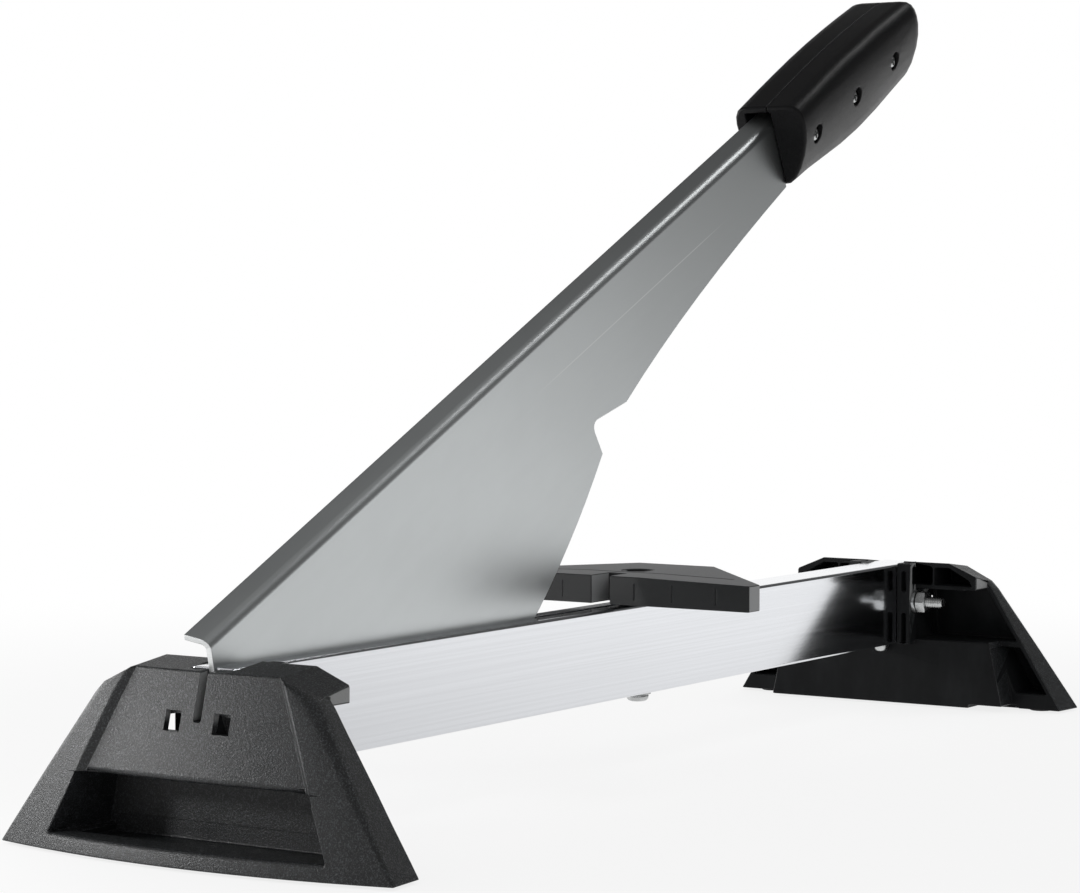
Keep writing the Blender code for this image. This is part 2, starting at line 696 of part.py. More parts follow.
def blade_edge():
    """The blade's lower edge from the hub to its tip, in the lever's frame."""
    control = (EDGE_START[0] + (BELLY[0] - EDGE_START[0]) / 2,
               (EDGE_START[1] + BELLY[1]) / 2 - EDGE_RISE)
    approach = Vector((BELLY[0] - control[0], BELLY[1] - control[1])).normalized()
    leave = Vector((TIP[0] - BELLY[0], TIP[1] - BELLY[1])).normalized()
    before = tuple(Vector(BELLY) - approach * BELLY_ROUND)
    after = tuple(Vector(BELLY) + leave * BELLY_ROUND)
    middle = (Vector(after) + Vector(TIP)) / 2 + 2 * EDGE_BULGE * Vector((leave.y, -leave.x))
    points = [EDGE_START]
    points += bezier(EDGE_START, control, before, CURVE_STEPS)
    points += bezier(before, BELLY, after, CURVE_STEPS // 2)
    points += bezier(after, tuple(middle), TIP, CURVE_STEPS)
    return points


def blade_outline():
    """The flat plate's whole outline, heel to tang, ending with its straight top edge."""
    tangent = math.atan2(PLATE_TOP, PLATE_HEEL)
    tangent += math.acos(HUB_RADIUS / math.hypot(PLATE_TOP, PLATE_HEEL))
    leave = math.atan2(EDGE_START[1], EDGE_START[0])
    leave -= math.acos(HUB_RADIUS / math.hypot(*EDGE_START))
    sweep = (leave - tangent) % math.tau
    points = []
    for i in range(HUB_STEPS + 1):
        angle = tangent + sweep * i / HUB_STEPS
        points.append((HUB_RADIUS * math.cos(angle), HUB_RADIUS * math.sin(angle)))
    points += blade_edge()
    corner = (NOTCH_X, NOTCH_Z)
    points.append((NOTCH_X, NOTCH_Z - NOTCH_RADIUS))
    points += bezier(points[-1], corner, (NOTCH_X + NOTCH_RADIUS, NOTCH_Z), CURVE_STEPS // 2)
    points.append(HOOK)
    back_end = (HANDLE_START + GAP, BACK_END_Z)
    points += bezier(HOOK, BACK_CONTROL, back_end, CURVE_STEPS)
    points += [(HANDLE_START + HANDLE_NOSE_ROUND, TANG_BOTTOM), (TANG_END, TANG_BOTTOM)]
    points += [(TANG_END, PLATE_TOP), (PLATE_HEEL, PLATE_TOP)]
    return points


def flange_profile():
    """The bend and the flange in y and z, from the plate's right face round to its left face."""
    outer = BEND_RADIUS + PLATE_THICKNESS
    centre = (PLATE_HALF + BEND_RADIUS, PLATE_TOP)
    tilt = Vector((math.cos(FLANGE_TILT), math.sin(FLANGE_TILT)))
    normal = Vector((-tilt.y, tilt.x))
    arc = [math.pi - (math.pi / 2 - FLANGE_TILT) * i / BEND_STEPS for i in range(1, BEND_STEPS + 1)]
    outside = [(centre[0] + outer * math.cos(a), centre[1] + outer * math.sin(a)) for a in arc]
    inside = [(centre[0] + BEND_RADIUS * math.cos(a), centre[1] + BEND_RADIUS * math.sin(a))
              for a in arc]
    run = (FLANGE_WIDTH - centre[0]) / tilt.x
    tip_top = Vector(centre) + normal * outer + tilt * run
    tip_low = Vector(centre) + normal * BEND_RADIUS + tilt * run
    return outside + [tuple(tip_top), tuple(tip_low)] + inside[::-1]


def blade_mesh():
    """Plate and flange as one bent sheet, with its pivot and screw holes."""
    outline = blade_outline()
    bm = bmesh.new()
    right = [bm.verts.new((x, -PLATE_HALF, z)) for x, z in outline]
    left = [bm.verts.new((x, PLATE_HALF, z)) for x, z in outline]
    bm.faces.new(right)
    bm.faces.new(left)
    count = len(outline)
    for i in range(count):
        after = (i + 1) % count
        if i != count - 2:
            bm.faces.new((right[i], right[after], left[after], left[i]))
    profile = flange_profile()
    strips = []
    for corner in (-2, -1):
        x = outline[corner][0]
        middle = [bm.verts.new((x, y, z)) for y, z in profile]
        strips.append([right[corner], *middle, left[corner]])
    far, near = strips
    for i in range(len(far) - 1):
        bm.faces.new((far[i], far[i + 1], near[i + 1], near[i]))
    bm.faces.new(far)
    bm.faces.new(near)
    side = PLATE_HALF + OVERRUN
    cutters = [rod(BOLT_DIAMETER + 2 * GAP, -side, side, (0.0, 0.0), 'Y')]
    cutters += [rod(HANDLE_SCREW_SHANK + 2 * SLIDE, -side, side, (x, HANDLE_SCREW_Z), 'Y')
                for x in handle_screw_places()]
    return apply_booleans("lever_blade", bm, cutters)


# Handle

def handle_screw_places():
    """Where the handle's screws sit along the lever."""
    first, last = HANDLE_START + HANDLE_SCREW_FIRST, HANDLE_END - HANDLE_SCREW_LAST
    pitch = (last - first) / (HANDLE_SCREW_COUNT - 1)
    return [first + pitch * i for i in range(HANDLE_SCREW_COUNT)]


def handle_sections():
    """Rings of points along the handle: flat nose, slight crown, rounded far end."""
    stations = [0.0, HANDLE_NOSE_ROUND]
    straight = HANDLE_LENGTH - HANDLE_END_ROUND
    inner = HANDLE_STATIONS // 2
    stations += [HANDLE_NOSE_ROUND + (straight - HANDLE_NOSE_ROUND) * i / inner
                 for i in range(1, inner + 1)]
    ends = HANDLE_STATIONS - inner
    stations += [straight + HANDLE_END_ROUND * math.sin(math.pi / 2 * i / ends)
                 for i in range(1, ends + 1)]
    rings = []
    for place in stations:
        crown = math.sin(math.pi * place / HANDLE_LENGTH)
        top = HANDLE_TOP + HANDLE_CROWN * crown
        bottom = HANDLE_BOTTOM - HANDLE_BELLY * crown ** 2
        shrink = HANDLE_NOSE_ROUND if place == 0.0 else 0.0
        past = max(0.0, place - straight) / HANDLE_END_ROUND
        shrink += HANDLE_END_ROUND * (1 - math.sqrt(max(0.0, 1 - past ** 2)))
        shrink = min(shrink, HANDLE_END_ROUND * (1 - HANDLE_END_FLAT))
        half = HANDLE_HALF_WIDTH - shrink
        low, high = bottom + shrink, top - shrink
        side = [(half * u, low + (high - low) * v) for u, v in HANDLE_SECTION_SHARES]
        other = [(-y, z) for y, z in side[-2:0:-1]]
        rings.append([(HANDLE_START + place, y, z) for y, z in side + other])
    return rings


def handle_blank():
    """The whole grip before it is split."""
    bm = bmesh.new()
    rings = [[bm.verts.new(point) for point in ring] for ring in handle_sections()]
    for ring, after in zip(rings, rings[1:]):
        for i in range(len(ring)):
            j = (i + 1) % len(ring)
            bm.faces.new((ring[i], ring[j], after[j], after[i]))
    bm.faces.new(rings[0])
    bm.faces.new(rings[-1])
    bmesh.ops.triangulate(bm, faces=bm.faces)
    return bm


def handle_mesh(side):
    """One shell: side -1 is the right shell with the screw heads, +1 the left one."""
    reach = HANDLE_HALF_WIDTH + OVERRUN
    ends = (HANDLE_START - OVERRUN, HANDLE_END + OVERRUN)
    heights = (HANDLE_BOTTOM - HANDLE_BELLY - OVERRUN, HANDLE_TOP + HANDLE_CROWN + OVERRUN)
    name = "handle_right" if side < 0 else "handle_left"

    def across(inner, outer):
        return tuple(sorted((side * inner, side * outer)))
    crest = max(z for _, z in flange_profile())
    tang = (HANDLE_START - OVERRUN, TANG_END + SLIDE)
    web = PLATE_HALF + GAP
    cutters = [
        box(ends, across(GAP / 2, -reach), heights),
        box(tang, across(web, -reach), (TANG_BOTTOM - GAP, crest + SLIDE)),
        box((HANDLE_START - OVERRUN, HANDLE_START + HANDLE_NOSE_ROUND + GAP), across(web, -reach),
            (heights[0], crest + SLIDE)),
    ]
    under = min(z for y, z in flange_profile() if y > PLATE_HALF)
    if side > 0:
        lip = FLANGE_WIDTH + SLIDE
        cutters.append(box(tang, (-reach, lip), (under - SLIDE, crest + SLIDE)))
        cutters.append(box((HANDLE_START - OVERRUN, HANDLE_START + HANDLE_MOUTH),
                           (-reach, HANDLE_MOUTH_HALF),
                           (under - HANDLE_MOUTH_RISE, crest + HANDLE_MOUTH_RISE)))
    else:
        cutters.append(box((HANDLE_START - OVERRUN, HANDLE_START + HANDLE_MOUTH),
                           (-web, OVERRUN), (under, crest + HANDLE_MOUTH_RISE)))
    for x in handle_screw_places():
        centre = (x, HANDLE_SCREW_Z)
        if side < 0:
            cutters.append(rod(SCREW_WELL_DIAMETER, -reach, -SCREW_SEAT, centre, 'Y'))
            cutters.append(rod(HANDLE_SCREW_SHANK + 2 * SLIDE, -reach, OVERRUN, centre, 'Y'))
        else:
            cutters.append(rod(HANDLE_SCREW_SHANK + 2 * GAP, -OVERRUN, HANDLE_SCREW_GRIP + SLIDE,
                               centre, 'Y'))
    return apply_booleans(name, handle_blank(), cutters)


# Fence

def fence_top(y):
    """Height of the fence's top, which falls a little towards its ends."""
    share = max(0.0, abs(y) - FENCE_HALF_REAR) / (FENCE_HALF_WIDTH - FENCE_HALF_REAR)
    return FENCE_TOP - FENCE_WING_FALL * share


def fence_mesh():
    """The stop: a front strip with a gap for the blade, and a plate behind it with 45° corners."""
    corner = FENCE_FRONT + FENCE_END_DEPTH
    half = FENCE_HALF_WIDTH
    outline = [
        (FENCE_FRONT, -half), (corner, -half), (FENCE_REAR, -FENCE_HALF_REAR),
        (FENCE_REAR, FENCE_HALF_REAR), (corner, half), (FENCE_FRONT, half),
    ]
    base = prism(outline, FENCE_SEAT + FENCE_LIFT, FENCE_TOP)
    for y in (-FENCE_HALF_REAR, FENCE_HALF_REAR):
        bmesh.ops.bisect_plane(base, geom=base.verts[:] + base.edges[:] + base.faces[:],
                               plane_co=(0.0, y, 0.0), plane_no=(0.0, 1.0, 0.0), dist=GAP / 10)
    for vert in base.verts:
        if vert.co.z > FENCE_SEAT + FENCE_LIFT + GAP:
            vert.co.z = fence_top(vert.co.y)
    above = FENCE_TOP + OVERRUN
    groove = (FENCE_GROOVE_X, FENCE_GROOVE_X + FENCE_GROOVE_WIDTH)
    groove_half = FENCE_HALF_WIDTH - FENCE_GROOVE_MARGIN
    nut_top = FENCE_TOP - FENCE_WELL_DEPTH
    cutters = [
        box((FENCE_FRONT - OVERRUN, FENCE_FRONT + FENCE_GAP_DEPTH),
            (-FENCE_GAP_WIDTH / 2, FENCE_GAP_WIDTH / 2), (FENCE_SEAT - OVERRUN, above)),
        box(groove, (-groove_half, groove_half),
            (FENCE_TOP - FENCE_GROOVE_DEPTH - FENCE_WING_FALL, above)),
        rod(FENCE_WELL_DIAMETER, nut_top, above),
        prism(hexagon(FENCE_NUT_FLATS + 2 * GAP), nut_top - FENCE_NUT_DEPTH - GAP, above),
        rod(FENCE_SCREW_DIAMETER + 2 * SLIDE, FENCE_SEAT - OVERRUN, above),
    ]
    boss = rod(FENCE_BOSS_DIAMETER, FENCE_SEAT, FENCE_SEAT + 2 * FENCE_LIFT)
    return apply_booleans("fence", base, cutters, [boss])


# Fasteners, each modelled along +Z from the face that it bears on

def headed_screw(head, head_height, shank, length, name):
    """A round-headed screw: head below zero, shank above it."""
    base = rod(head, -head_height, 0.0)
    top_edges = [e for e in base.edges if all(v.co.z < -head_height / 2 for v in e.verts)]
    bmesh.ops.bevel(base, geom=top_edges, offset=head_height / 3, segments=2, affect='EDGES')
    return apply_booleans(name, base, (), [rod(shank, -head_height / 2, length)])


def hex_bolt_mesh():
    """A hexagon-headed bolt: head below zero, shank above it, long enough for nut and tail."""
    length = 2 * (POST_OUTER + GAP + WASHER_THICKNESS + GAP) + NUT_HEIGHT + BOLT_TAIL
    base = prism(hexagon(BOLT_HEAD_FLATS), -BOLT_HEAD_HEIGHT, 0.0)
    shank = rod(BOLT_DIAMETER, -BOLT_HEAD_HEIGHT / 2, length)
    return apply_booleans("hex_bolt", base, (), [shank])


def ring_mesh(outline, bore, height, name):
    """A nut, washer or bush: an outline with a round bore, standing on zero."""
    base = prism(outline, 0.0, height)
    return apply_booleans(name, base, [rod(bore, -OVERRUN, height + OVERRUN)])


def place(obj, x, y, z, turn=(0.0, 0.0, 0.0)):
    """Set a piece's place and turn."""
    obj.location = (x, y, z)
    obj.rotation_euler = turn
    return obj


def empty_at(name, x, y, z):
    """A joint's empty."""
    obj = new_object(name, None)
    obj.location = (x, y, z)
    return obj


def build_base():
    """Bar, plug, feet and pads."""
    piece("bar", bar_mesh(), "bar_aluminium", smooth_below=SMOOTH)
    piece("bar_plug", plug_mesh(), "moulded_plastic")
    foot = foot_mesh()
    piece("foot_near", foot, "moulded_plastic")
    place(piece("foot_far", foot, "moulded_plastic"), 0.0, 0.0, 0.0, (0.0, 0.0, math.pi))
    pad = mesh_from(rod(PAD_DIAMETER, 0.0, FOOT_RISE + PAD_SOCKET - GAP), "foot_pad")
    sides = ((-1, -1), (-1, 1), (1, -1), (1, 1))
    for number, (end, side) in enumerate(sides, 1):
        obj = piece(f"foot_pad_{number}", pad, "pad_rubber", smooth_below=SMOOTH)
        place(obj, end * PAD_X, side * PAD_Y, 0.0)


def build_cross_bolt(name, x, nut_name):
    """A bolt across one foot, from its head on the +Y side to its nut on the -Y side."""
    outer = POST_OUTER + GAP
    seat = outer + WASHER_THICKNESS + GAP
    along_y = (math.pi / 2, 0.0, 0.0)
    bolt = piece(name, hex_bolt_mesh(), "zinc_steel", smooth_below=SMOOTH)
    place(bolt, x, seat, PIVOT_HEIGHT, along_y)
    bore = BOLT_DIAMETER + 2 * GAP
    washer = ring_mesh(regular_outline(WASHER_DIAMETER / 2, ROUND_STEPS), bore, WASHER_THICKNESS,
                       "washer")
    stem = name.replace("_bolt", "_washer")
    left = piece(stem + "_left", washer, "zinc_steel", smooth_below=SMOOTH)
    place(left, x, outer + WASHER_THICKNESS, PIVOT_HEIGHT, along_y)
    right = piece(stem + "_right", washer, "zinc_steel", smooth_below=SMOOTH)
    place(right, x, -outer, PIVOT_HEIGHT, along_y)
    nut = ring_mesh(hexagon(NUT_FLATS), bore, NUT_HEIGHT, nut_name)
    place(piece(nut_name, nut, "zinc_steel", smooth_below=SMOOTH), x, -seat, PIVOT_HEIGHT, along_y)


def build_bushes():
    """The two bushes that keep the blade in the middle of the bar at the pivot."""
    start = PLATE_HALF + GAP
    length = CAVITY_HALF - GAP - start
    mesh = ring_mesh(regular_outline(BUSH_DIAMETER / 2, ROUND_STEPS), BOLT_DIAMETER + 2 * GAP, length,
                     "pivot_bush")
    along_y = (math.pi / 2, 0.0, 0.0)
    for name, y in (("pivot_bush_left", start + length), ("pivot_bush_right", -start)):
        obj = piece(name, mesh, "bush_plastic", smooth_below=SMOOTH)
        place(obj, -PIVOT_X, y, PIVOT_HEIGHT, along_y)


def build_plug_screw():
    """The small screw up through the bar's bottom into the plug."""
    mesh = headed_screw(SMALL_HEAD_DIAMETER, SMALL_HEAD_HEIGHT, SMALL_SHANK_DIAMETER,
                        PLUG_SCREW_LENGTH, "plug_screw")
    obj = piece("plug_screw", mesh, "zinc_steel", smooth_below=SMOOTH)
    place(obj, PLUG_SCREW_X, 0.0, BAR_BOTTOM - GAP)


def build_lever():
    """Blade, handle shells and handle screws on the pivot's empty."""
    pivot = empty_at("lever_pivot", -PIVOT_X, 0.0, PIVOT_HEIGHT)
    pivot.rotation_euler = (0.0, -LEVER_ANGLE, 0.0)
    piece("lever_blade", blade_mesh(), "blade_steel", pivot, SMOOTH)
    piece("handle_right", handle_mesh(-1), "grip_plastic", pivot, SMOOTH)
    piece("handle_left", handle_mesh(1), "grip_plastic", pivot, SMOOTH)
    length = SCREW_SEAT + HANDLE_SCREW_GRIP
    mesh = headed_screw(HANDLE_SCREW_HEAD, HANDLE_SCREW_HEAD_HEIGHT, HANDLE_SCREW_SHANK, length,
                        "handle_screw")
    for number, x in enumerate(handle_screw_places(), 1):
        obj = piece(f"handle_screw_{number}", mesh, "zinc_steel", pivot, SMOOTH)
        place(obj, x, -SCREW_SEAT - GAP, HANDLE_SCREW_Z, (-math.pi / 2, 0.0, 0.0))


def build_fence():
    """The fence with its captive nut on their empty, and the screw and washer under the bar."""
    pivot = empty_at("fence_pivot", FENCE_X, 0.0, 0.0)
    piece("fence", fence_mesh(), "fence_plastic", pivot)
    bore = FENCE_SCREW_DIAMETER + 2 * GAP
    nut = ring_mesh(hexagon(FENCE_NUT_FLATS), bore, FENCE_NUT_HEIGHT, "fence_nut")
    nut_seat = FENCE_TOP - FENCE_WELL_DEPTH - FENCE_NUT_DEPTH
    place(piece("fence_nut", nut, "zinc_steel", pivot, SMOOTH), 0.0, 0.0, nut_seat)
    washer = ring_mesh(regular_outline(FENCE_WASHER_DIAMETER / 2, ROUND_STEPS), bore,
                       FENCE_WASHER_THICKNESS, "fence_washer")
    washer_bottom = BAR_BOTTOM - GAP - FENCE_WASHER_THICKNESS
    place(piece("fence_washer", washer, "zinc_steel", smooth_below=SMOOTH), FENCE_X, 0.0,
          washer_bottom)
    head = washer_bottom - GAP
    length = nut_seat + FENCE_NUT_HEIGHT - head
    screw = headed_screw(FENCE_HEAD_DIAMETER, FENCE_HEAD_HEIGHT, FENCE_SCREW_DIAMETER, length,
                         "fence_screw")
    place(piece("fence_screw", screw, "zinc_steel", smooth_below=SMOOTH), FENCE_X, 0.0, head)


def main():
    clear_scene()
    build_base()
    build_cross_bolt("pivot_bolt", -PIVOT_X, "pivot_nut")
    build_cross_bolt("clamp_bolt", PIVOT_X, "clamp_nut")
    build_bushes()
    build_plug_screw()
    build_lever()
    build_fence()


main()
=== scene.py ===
"""Studio scene of a laminate cutter: rounded mouldings, turned fasteners and procedural finishes.

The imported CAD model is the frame. Each operator below makes one piece or one group of like
pieces on it, and main() runs them in order.
"""

import json
import math

import bmesh
import bpy
from bpy.props import FloatProperty, FloatVectorProperty, IntProperty, PointerProperty
from mathutils import Matrix, Vector
from mathutils.bvhtree import BVHTree

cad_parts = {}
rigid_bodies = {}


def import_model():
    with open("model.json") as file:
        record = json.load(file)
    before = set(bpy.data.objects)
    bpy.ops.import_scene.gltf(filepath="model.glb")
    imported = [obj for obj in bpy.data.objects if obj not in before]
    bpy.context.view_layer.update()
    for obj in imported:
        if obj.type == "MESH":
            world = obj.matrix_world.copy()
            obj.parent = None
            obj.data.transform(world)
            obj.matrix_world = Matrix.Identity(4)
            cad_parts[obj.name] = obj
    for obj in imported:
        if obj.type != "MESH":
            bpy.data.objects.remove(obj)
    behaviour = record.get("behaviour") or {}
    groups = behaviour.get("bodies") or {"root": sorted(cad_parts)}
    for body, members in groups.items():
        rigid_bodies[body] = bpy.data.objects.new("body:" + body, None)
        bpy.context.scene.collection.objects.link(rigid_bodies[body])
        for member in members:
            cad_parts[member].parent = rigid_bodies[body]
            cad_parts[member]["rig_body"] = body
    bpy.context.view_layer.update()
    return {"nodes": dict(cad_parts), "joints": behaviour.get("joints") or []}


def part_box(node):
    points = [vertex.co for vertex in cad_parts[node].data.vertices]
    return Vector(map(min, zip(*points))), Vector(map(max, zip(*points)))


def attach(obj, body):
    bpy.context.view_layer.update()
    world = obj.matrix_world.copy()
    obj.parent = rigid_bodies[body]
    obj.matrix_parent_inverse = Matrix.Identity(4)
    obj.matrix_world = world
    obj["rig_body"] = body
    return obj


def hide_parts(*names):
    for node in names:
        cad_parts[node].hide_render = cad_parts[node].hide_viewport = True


bl_info = {
    "name": "Laminate cutter",
    "version": (1, 0, 0),
    "blender": (4, 5, 0),
    "location": "3D View > Sidebar > Cutter",
    "description": "Dresses a laminate cutter's CAD frame with rounded mouldings and finishes",
    "category": "Object",
}

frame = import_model()
NODES = frame["nodes"]

# Places in the frame that the pieces are built on
LEVER_HINGE = next(joint for joint in frame["joints"] if joint["name"] == "lever_hinge")
PIVOT = Vector(LEVER_HINGE["pos_m"])
LEVER_TILT = math.radians(26.0)
MERGE = 5e-6
OVERRUN = 0.001

# Feet: levels, half widths and distances from the middle that tell one edge from another
PLACE_SLACK = 0.0004
LIP_LEVEL, LIP_FRONT, LIP_HALF = 0.031, 0.2962, 0.0535
SILL_LEVEL, SILL_FRONT = 0.0074, 0.29
PANEL_BACK = 0.286
WINDOW_FOOT, WINDOW_TOP, WINDOW_HALF = 0.048, 0.060, 0.0165
SLOT_FOOT, SLOT_HALF = 0.050, 0.0025
RIB_SIDE = 0.0173

# Blade and stop
BEND_LEVEL = 0.031
STOP_MARKS = (0.059, 0.037, 0.020, -0.0176, -0.037, -0.059)

# Fasteners
BOLT_RADIUS = 0.003
BEARING_GAP = 0.0003
THREAD_GAP = 0.0003
GRIP_SCREW_HEAD, GRIP_SCREW_SHANK, GRIP_SCREW_RECESS = 0.0028, 0.0036, 0.0046
UNDER_SCREWS = (("plug_screw", 0.0042, 0.0035), ("fence_screw", 0.003, 0.0048))

# Studio: each light's name, place, target, width, height and power
LIGHTS = (
    ("key", (-0.43, 0.18, 0.10), (-0.3, 0.0, 0.05), 0.03, 0.03, 0.18),
    ("left", (-0.4, 1.5, 0.45), (-0.3, 0.0, 0.05), 1.6, 0.4, 10.0),
    ("top", (1.0, -0.43, 1.33), (0.29, 0.0, 0.33), 0.45, 0.45, 3.0),
    ("front", (-1.1, -1.5, 0.9), (0.0, 0.0, 0.1), 0.9, 0.9, 2.0),
)
CAMERA_PLACE = Vector((-1.256, -0.778, 0.218))
CAMERA_YAW, CAMERA_PITCH = math.radians(33.03), math.radians(-2.85)
CAMERA_LENS, SENSOR_WIDTH, FAR_CLIP = 110.17, 36.0, 30.0
FLOOR_SIZE, FLOOR_DROP = 6.0, 0.0002
AHEAD_X, AHEAD_Y = 0.838, 0.545
AMBIENT = 0.55
WHITE = (1.0, 1.0, 1.0, 1.0)


# Sizes and colours that a user may change

def length(name, description, default):
    """A length property in metres."""
    return FloatProperty(name=name, description=description, default=default, min=0.0,
                         precision=5, subtype='DISTANCE', unit='LENGTH')


def share(name, description, default):
    """A property from 0 to 1."""
    return FloatProperty(name=name, description=description, default=default, min=0.0, max=1.0,
                         subtype='FACTOR')


def colour(name, description, default):
    """A linear colour property."""
    return FloatVectorProperty(name=name, description=description, default=default, size=3,
                               min=0.0, max=1.0, subtype='COLOR')


class CutterSizes(bpy.types.PropertyGroup):
    """Rounding and fastener sizes."""
    foot_round: length("Foot edge radius", "Rounding of the feet's edges", 0.0008)
    lip_round: length("Lip radius", "Rounding of the nose under a foot's panel", 0.0031)
    sill_round: length("Sill radius", "Rounding of the ridge below a foot's pocket", 0.0018)
    crisp_round: length("Crisp radius", "Rounding of a foot's windows and blade slot", 0.0001)
    grip_round: length("Grip edge radius", "Rounding of the grip shells' edges", 0.0006)
    stop_round: length("Stop edge radius", "Rounding of the stop's edges", 0.0005)
    sheet_round: length("Sheet edge radius", "Rounding of the blade's and bar's cut edges", 0.00025)
    pad_round: length("Pad edge radius", "Rounding of the rubber pads", 0.0005)
    thread_pitch: length("Thread pitch", "Distance between the threads of the bolts", 0.001)
    thread_depth: length("Thread depth", "Height of the threads of the bolts", 0.00045)
    mark_width: length("Mark width", "Width of the upright marks on the stop's front", 0.0006)
    mark_depth: length("Mark depth", "Depth of the upright marks on the stop's front", 0.0005)
    grip_screws: IntProperty(name="Grip screws", description="Screws in the grip's right shell",
                             default=3, min=1, max=6)


class CutterColours(bpy.types.PropertyGroup):
    """Base colours and grain of the finishes."""
    moulding: colour("Moulding", "Grained anthracite plastic of the feet",
                     (0.0068, 0.0074, 0.0080))
    inside: colour("Moulding inside", "Smooth black plastic inside the feet",
                   (0.0085, 0.0090, 0.0096))
    grip: colour("Grip", "Semi-gloss black plastic of the grip", (0.006, 0.006, 0.0065))
    stop: colour("Stop", "Black plastic of the stop", (0.011, 0.012, 0.013))
    rubber: colour("Rubber", "Rubber of the pads", (0.010, 0.010, 0.010))
    aluminium: colour("Aluminium", "Drawn aluminium of the bar", (0.855, 0.87, 0.90))
    sheet: colour("Sheet steel", "Galvanised sheet of the blade", (0.75, 0.78, 0.785))
    zinc: colour("Zinc", "Zinc plating of the fasteners", (0.62, 0.63, 0.63))
    nylon: colour("Nylon", "Nylon of the bushes", (0.62, 0.61, 0.56))
    grain: length("Grain", "Size of the moulded grain on the feet", 0.0007)
    floor: share("Floor", "Brightness of the floor and backdrop", 0.85)


def sizes():
    """The scene's size settings."""
    return bpy.context.scene.cutter_sizes


def colours():
    """The scene's colour settings."""
    return bpy.context.scene.cutter_colours


# Shader trees

class Field:
    """A value that varies over a surface. Arithmetic on it adds Math nodes to its tree."""

    def __init__(self, maker, socket):
        self.maker = maker
        self.socket = socket

    def math(self, operation, *others):
        values = dict(enumerate((self, *others)))
        made = self.maker.node("ShaderNodeMath", {"operation": operation}, values)
        return Field(self.maker, made.outputs[0])

    def __add__(self, other):
        return self.math('ADD', other)

    __radd__ = __add__

    def __mul__(self, other):
        return self.math('MULTIPLY', other)

    __rmul__ = __mul__

    def __sub__(self, other):
        return self.math('SUBTRACT', other)

    def __rsub__(self, other):
        return (self * -1.0) + other

    def __pow__(self, other):
        return self.math('POWER', other)

    def __abs__(self):
        return self.math('ABSOLUTE')

    def above(self, low, high):
        """0 below low, 1 above high, and a soft step between them."""
        made = self.maker.node("ShaderNodeMapRange", {"interpolation_type": 'SMOOTHSTEP'},
                               {"Value": self, "From Min": low, "From Max": high})
        return Field(self.maker, made.outputs[0])


class ShaderMaker:
    """Builds the nodes of one material or world."""

    def __init__(self, owner):
        owner.use_nodes = True
        self.tree = owner.node_tree
        self.tree.nodes.clear()

    def node(self, kind, settings=None, values=None):
        """Add a node: its settings first, then the values or links of its sockets."""
        made = self.tree.nodes.new(kind)
        for name, value in (settings or {}).items():
            setattr(made, name, value)
        for key, value in (values or {}).items():
            if isinstance(value, Field):
                self.tree.links.new(value.socket, made.inputs[key])
            else:
                made.inputs[key].default_value = value
        return made

    def field(self, kind, settings=None, values=None, output=0):
        """Add a node and return one of its outputs."""
        return Field(self, self.node(kind, settings, values).outputs[output])

    def place(self, stretch=(1.0, 1.0, 1.0), turn=(0.0, 0.0, 0.0), centre=(0.0, 0.0, 0.0)):
        """Object coordinates, turned, moved and then stretched."""
        here = self.field("ShaderNodeTexCoord", output="Object")
        turned = self.field("ShaderNodeMapping", {"vector_type": 'TEXTURE'},
                            {"Vector": here, "Location": centre, "Rotation": turn})
        return self.field("ShaderNodeMapping", {"vector_type": 'POINT'},
                          {"Vector": turned, "Scale": stretch})

    def noise(self, vector, scale, detail=2.0, roughness=0.5):
        """A noise pattern of a number of features per metre."""
        return self.field("ShaderNodeTexNoise", {"noise_dimensions": '3D'},
                          {"Vector": vector, "Scale": scale, "Detail": detail,
                           "Roughness": roughness})

    def parts(self, vector):
        """The x, y and z of a vector."""
        made = self.node("ShaderNodeSeparateXYZ", None, {"Vector": vector})
        return [Field(self, output) for output in made.outputs]

    def mix(self, factor, first, second):
        """A colour between two colours."""
        first, second = (c if isinstance(c, Field) else (*c[:3], 1.0) for c in (first, second))
        values = {0: factor, 6: first, 7: second}
        return self.field("ShaderNodeMix", {"data_type": 'RGBA'}, values, 2)

    def facing(self):
        """The surface's normal."""
        return self.field("ShaderNodeNewGeometry", output="Normal")

    def bump(self, height, distance, strength=1.0):
        """A normal from a height field, in metres of relief."""
        return self.field("ShaderNodeBump", None,
                          {"Height": height, "Distance": distance, "Strength": strength})

    def rays(self):
        """Whether a ray is the camera's, a glossy one, or one that passes through."""
        made = self.node("ShaderNodeLightPath")
        return [Field(self, made.outputs[name]) for name in
                ("Is Camera Ray", "Is Glossy Ray", "Is Transmission Ray")]

    def surface(self, **values):
        """End the tree in a Principled shader."""
        names = {"base": "Base Color", "rough": "Roughness", "metal": "Metallic",
                 "normal": "Normal", "gloss": "Specular IOR Level"}
        chosen = {names[key]: value for key, value in values.items()}
        shader = self.field("ShaderNodeBsdfPrincipled", None, chosen)
        self.node("ShaderNodeOutputMaterial", None, {"Surface": shader})


FINISHES = {}


def finish(make):
    """A finish's material, made when it is first asked for."""
    def wanted():
        if make.__name__ not in FINISHES:
            material = bpy.data.materials.new(make.__name__)
            make(ShaderMaker(material))
            FINISHES[make.__name__] = material
        return FINISHES[make.__name__]
    return wanted


def times(colour_value, factor):
    """A colour with each channel multiplied."""
    return tuple(channel * factor for channel in colour_value)


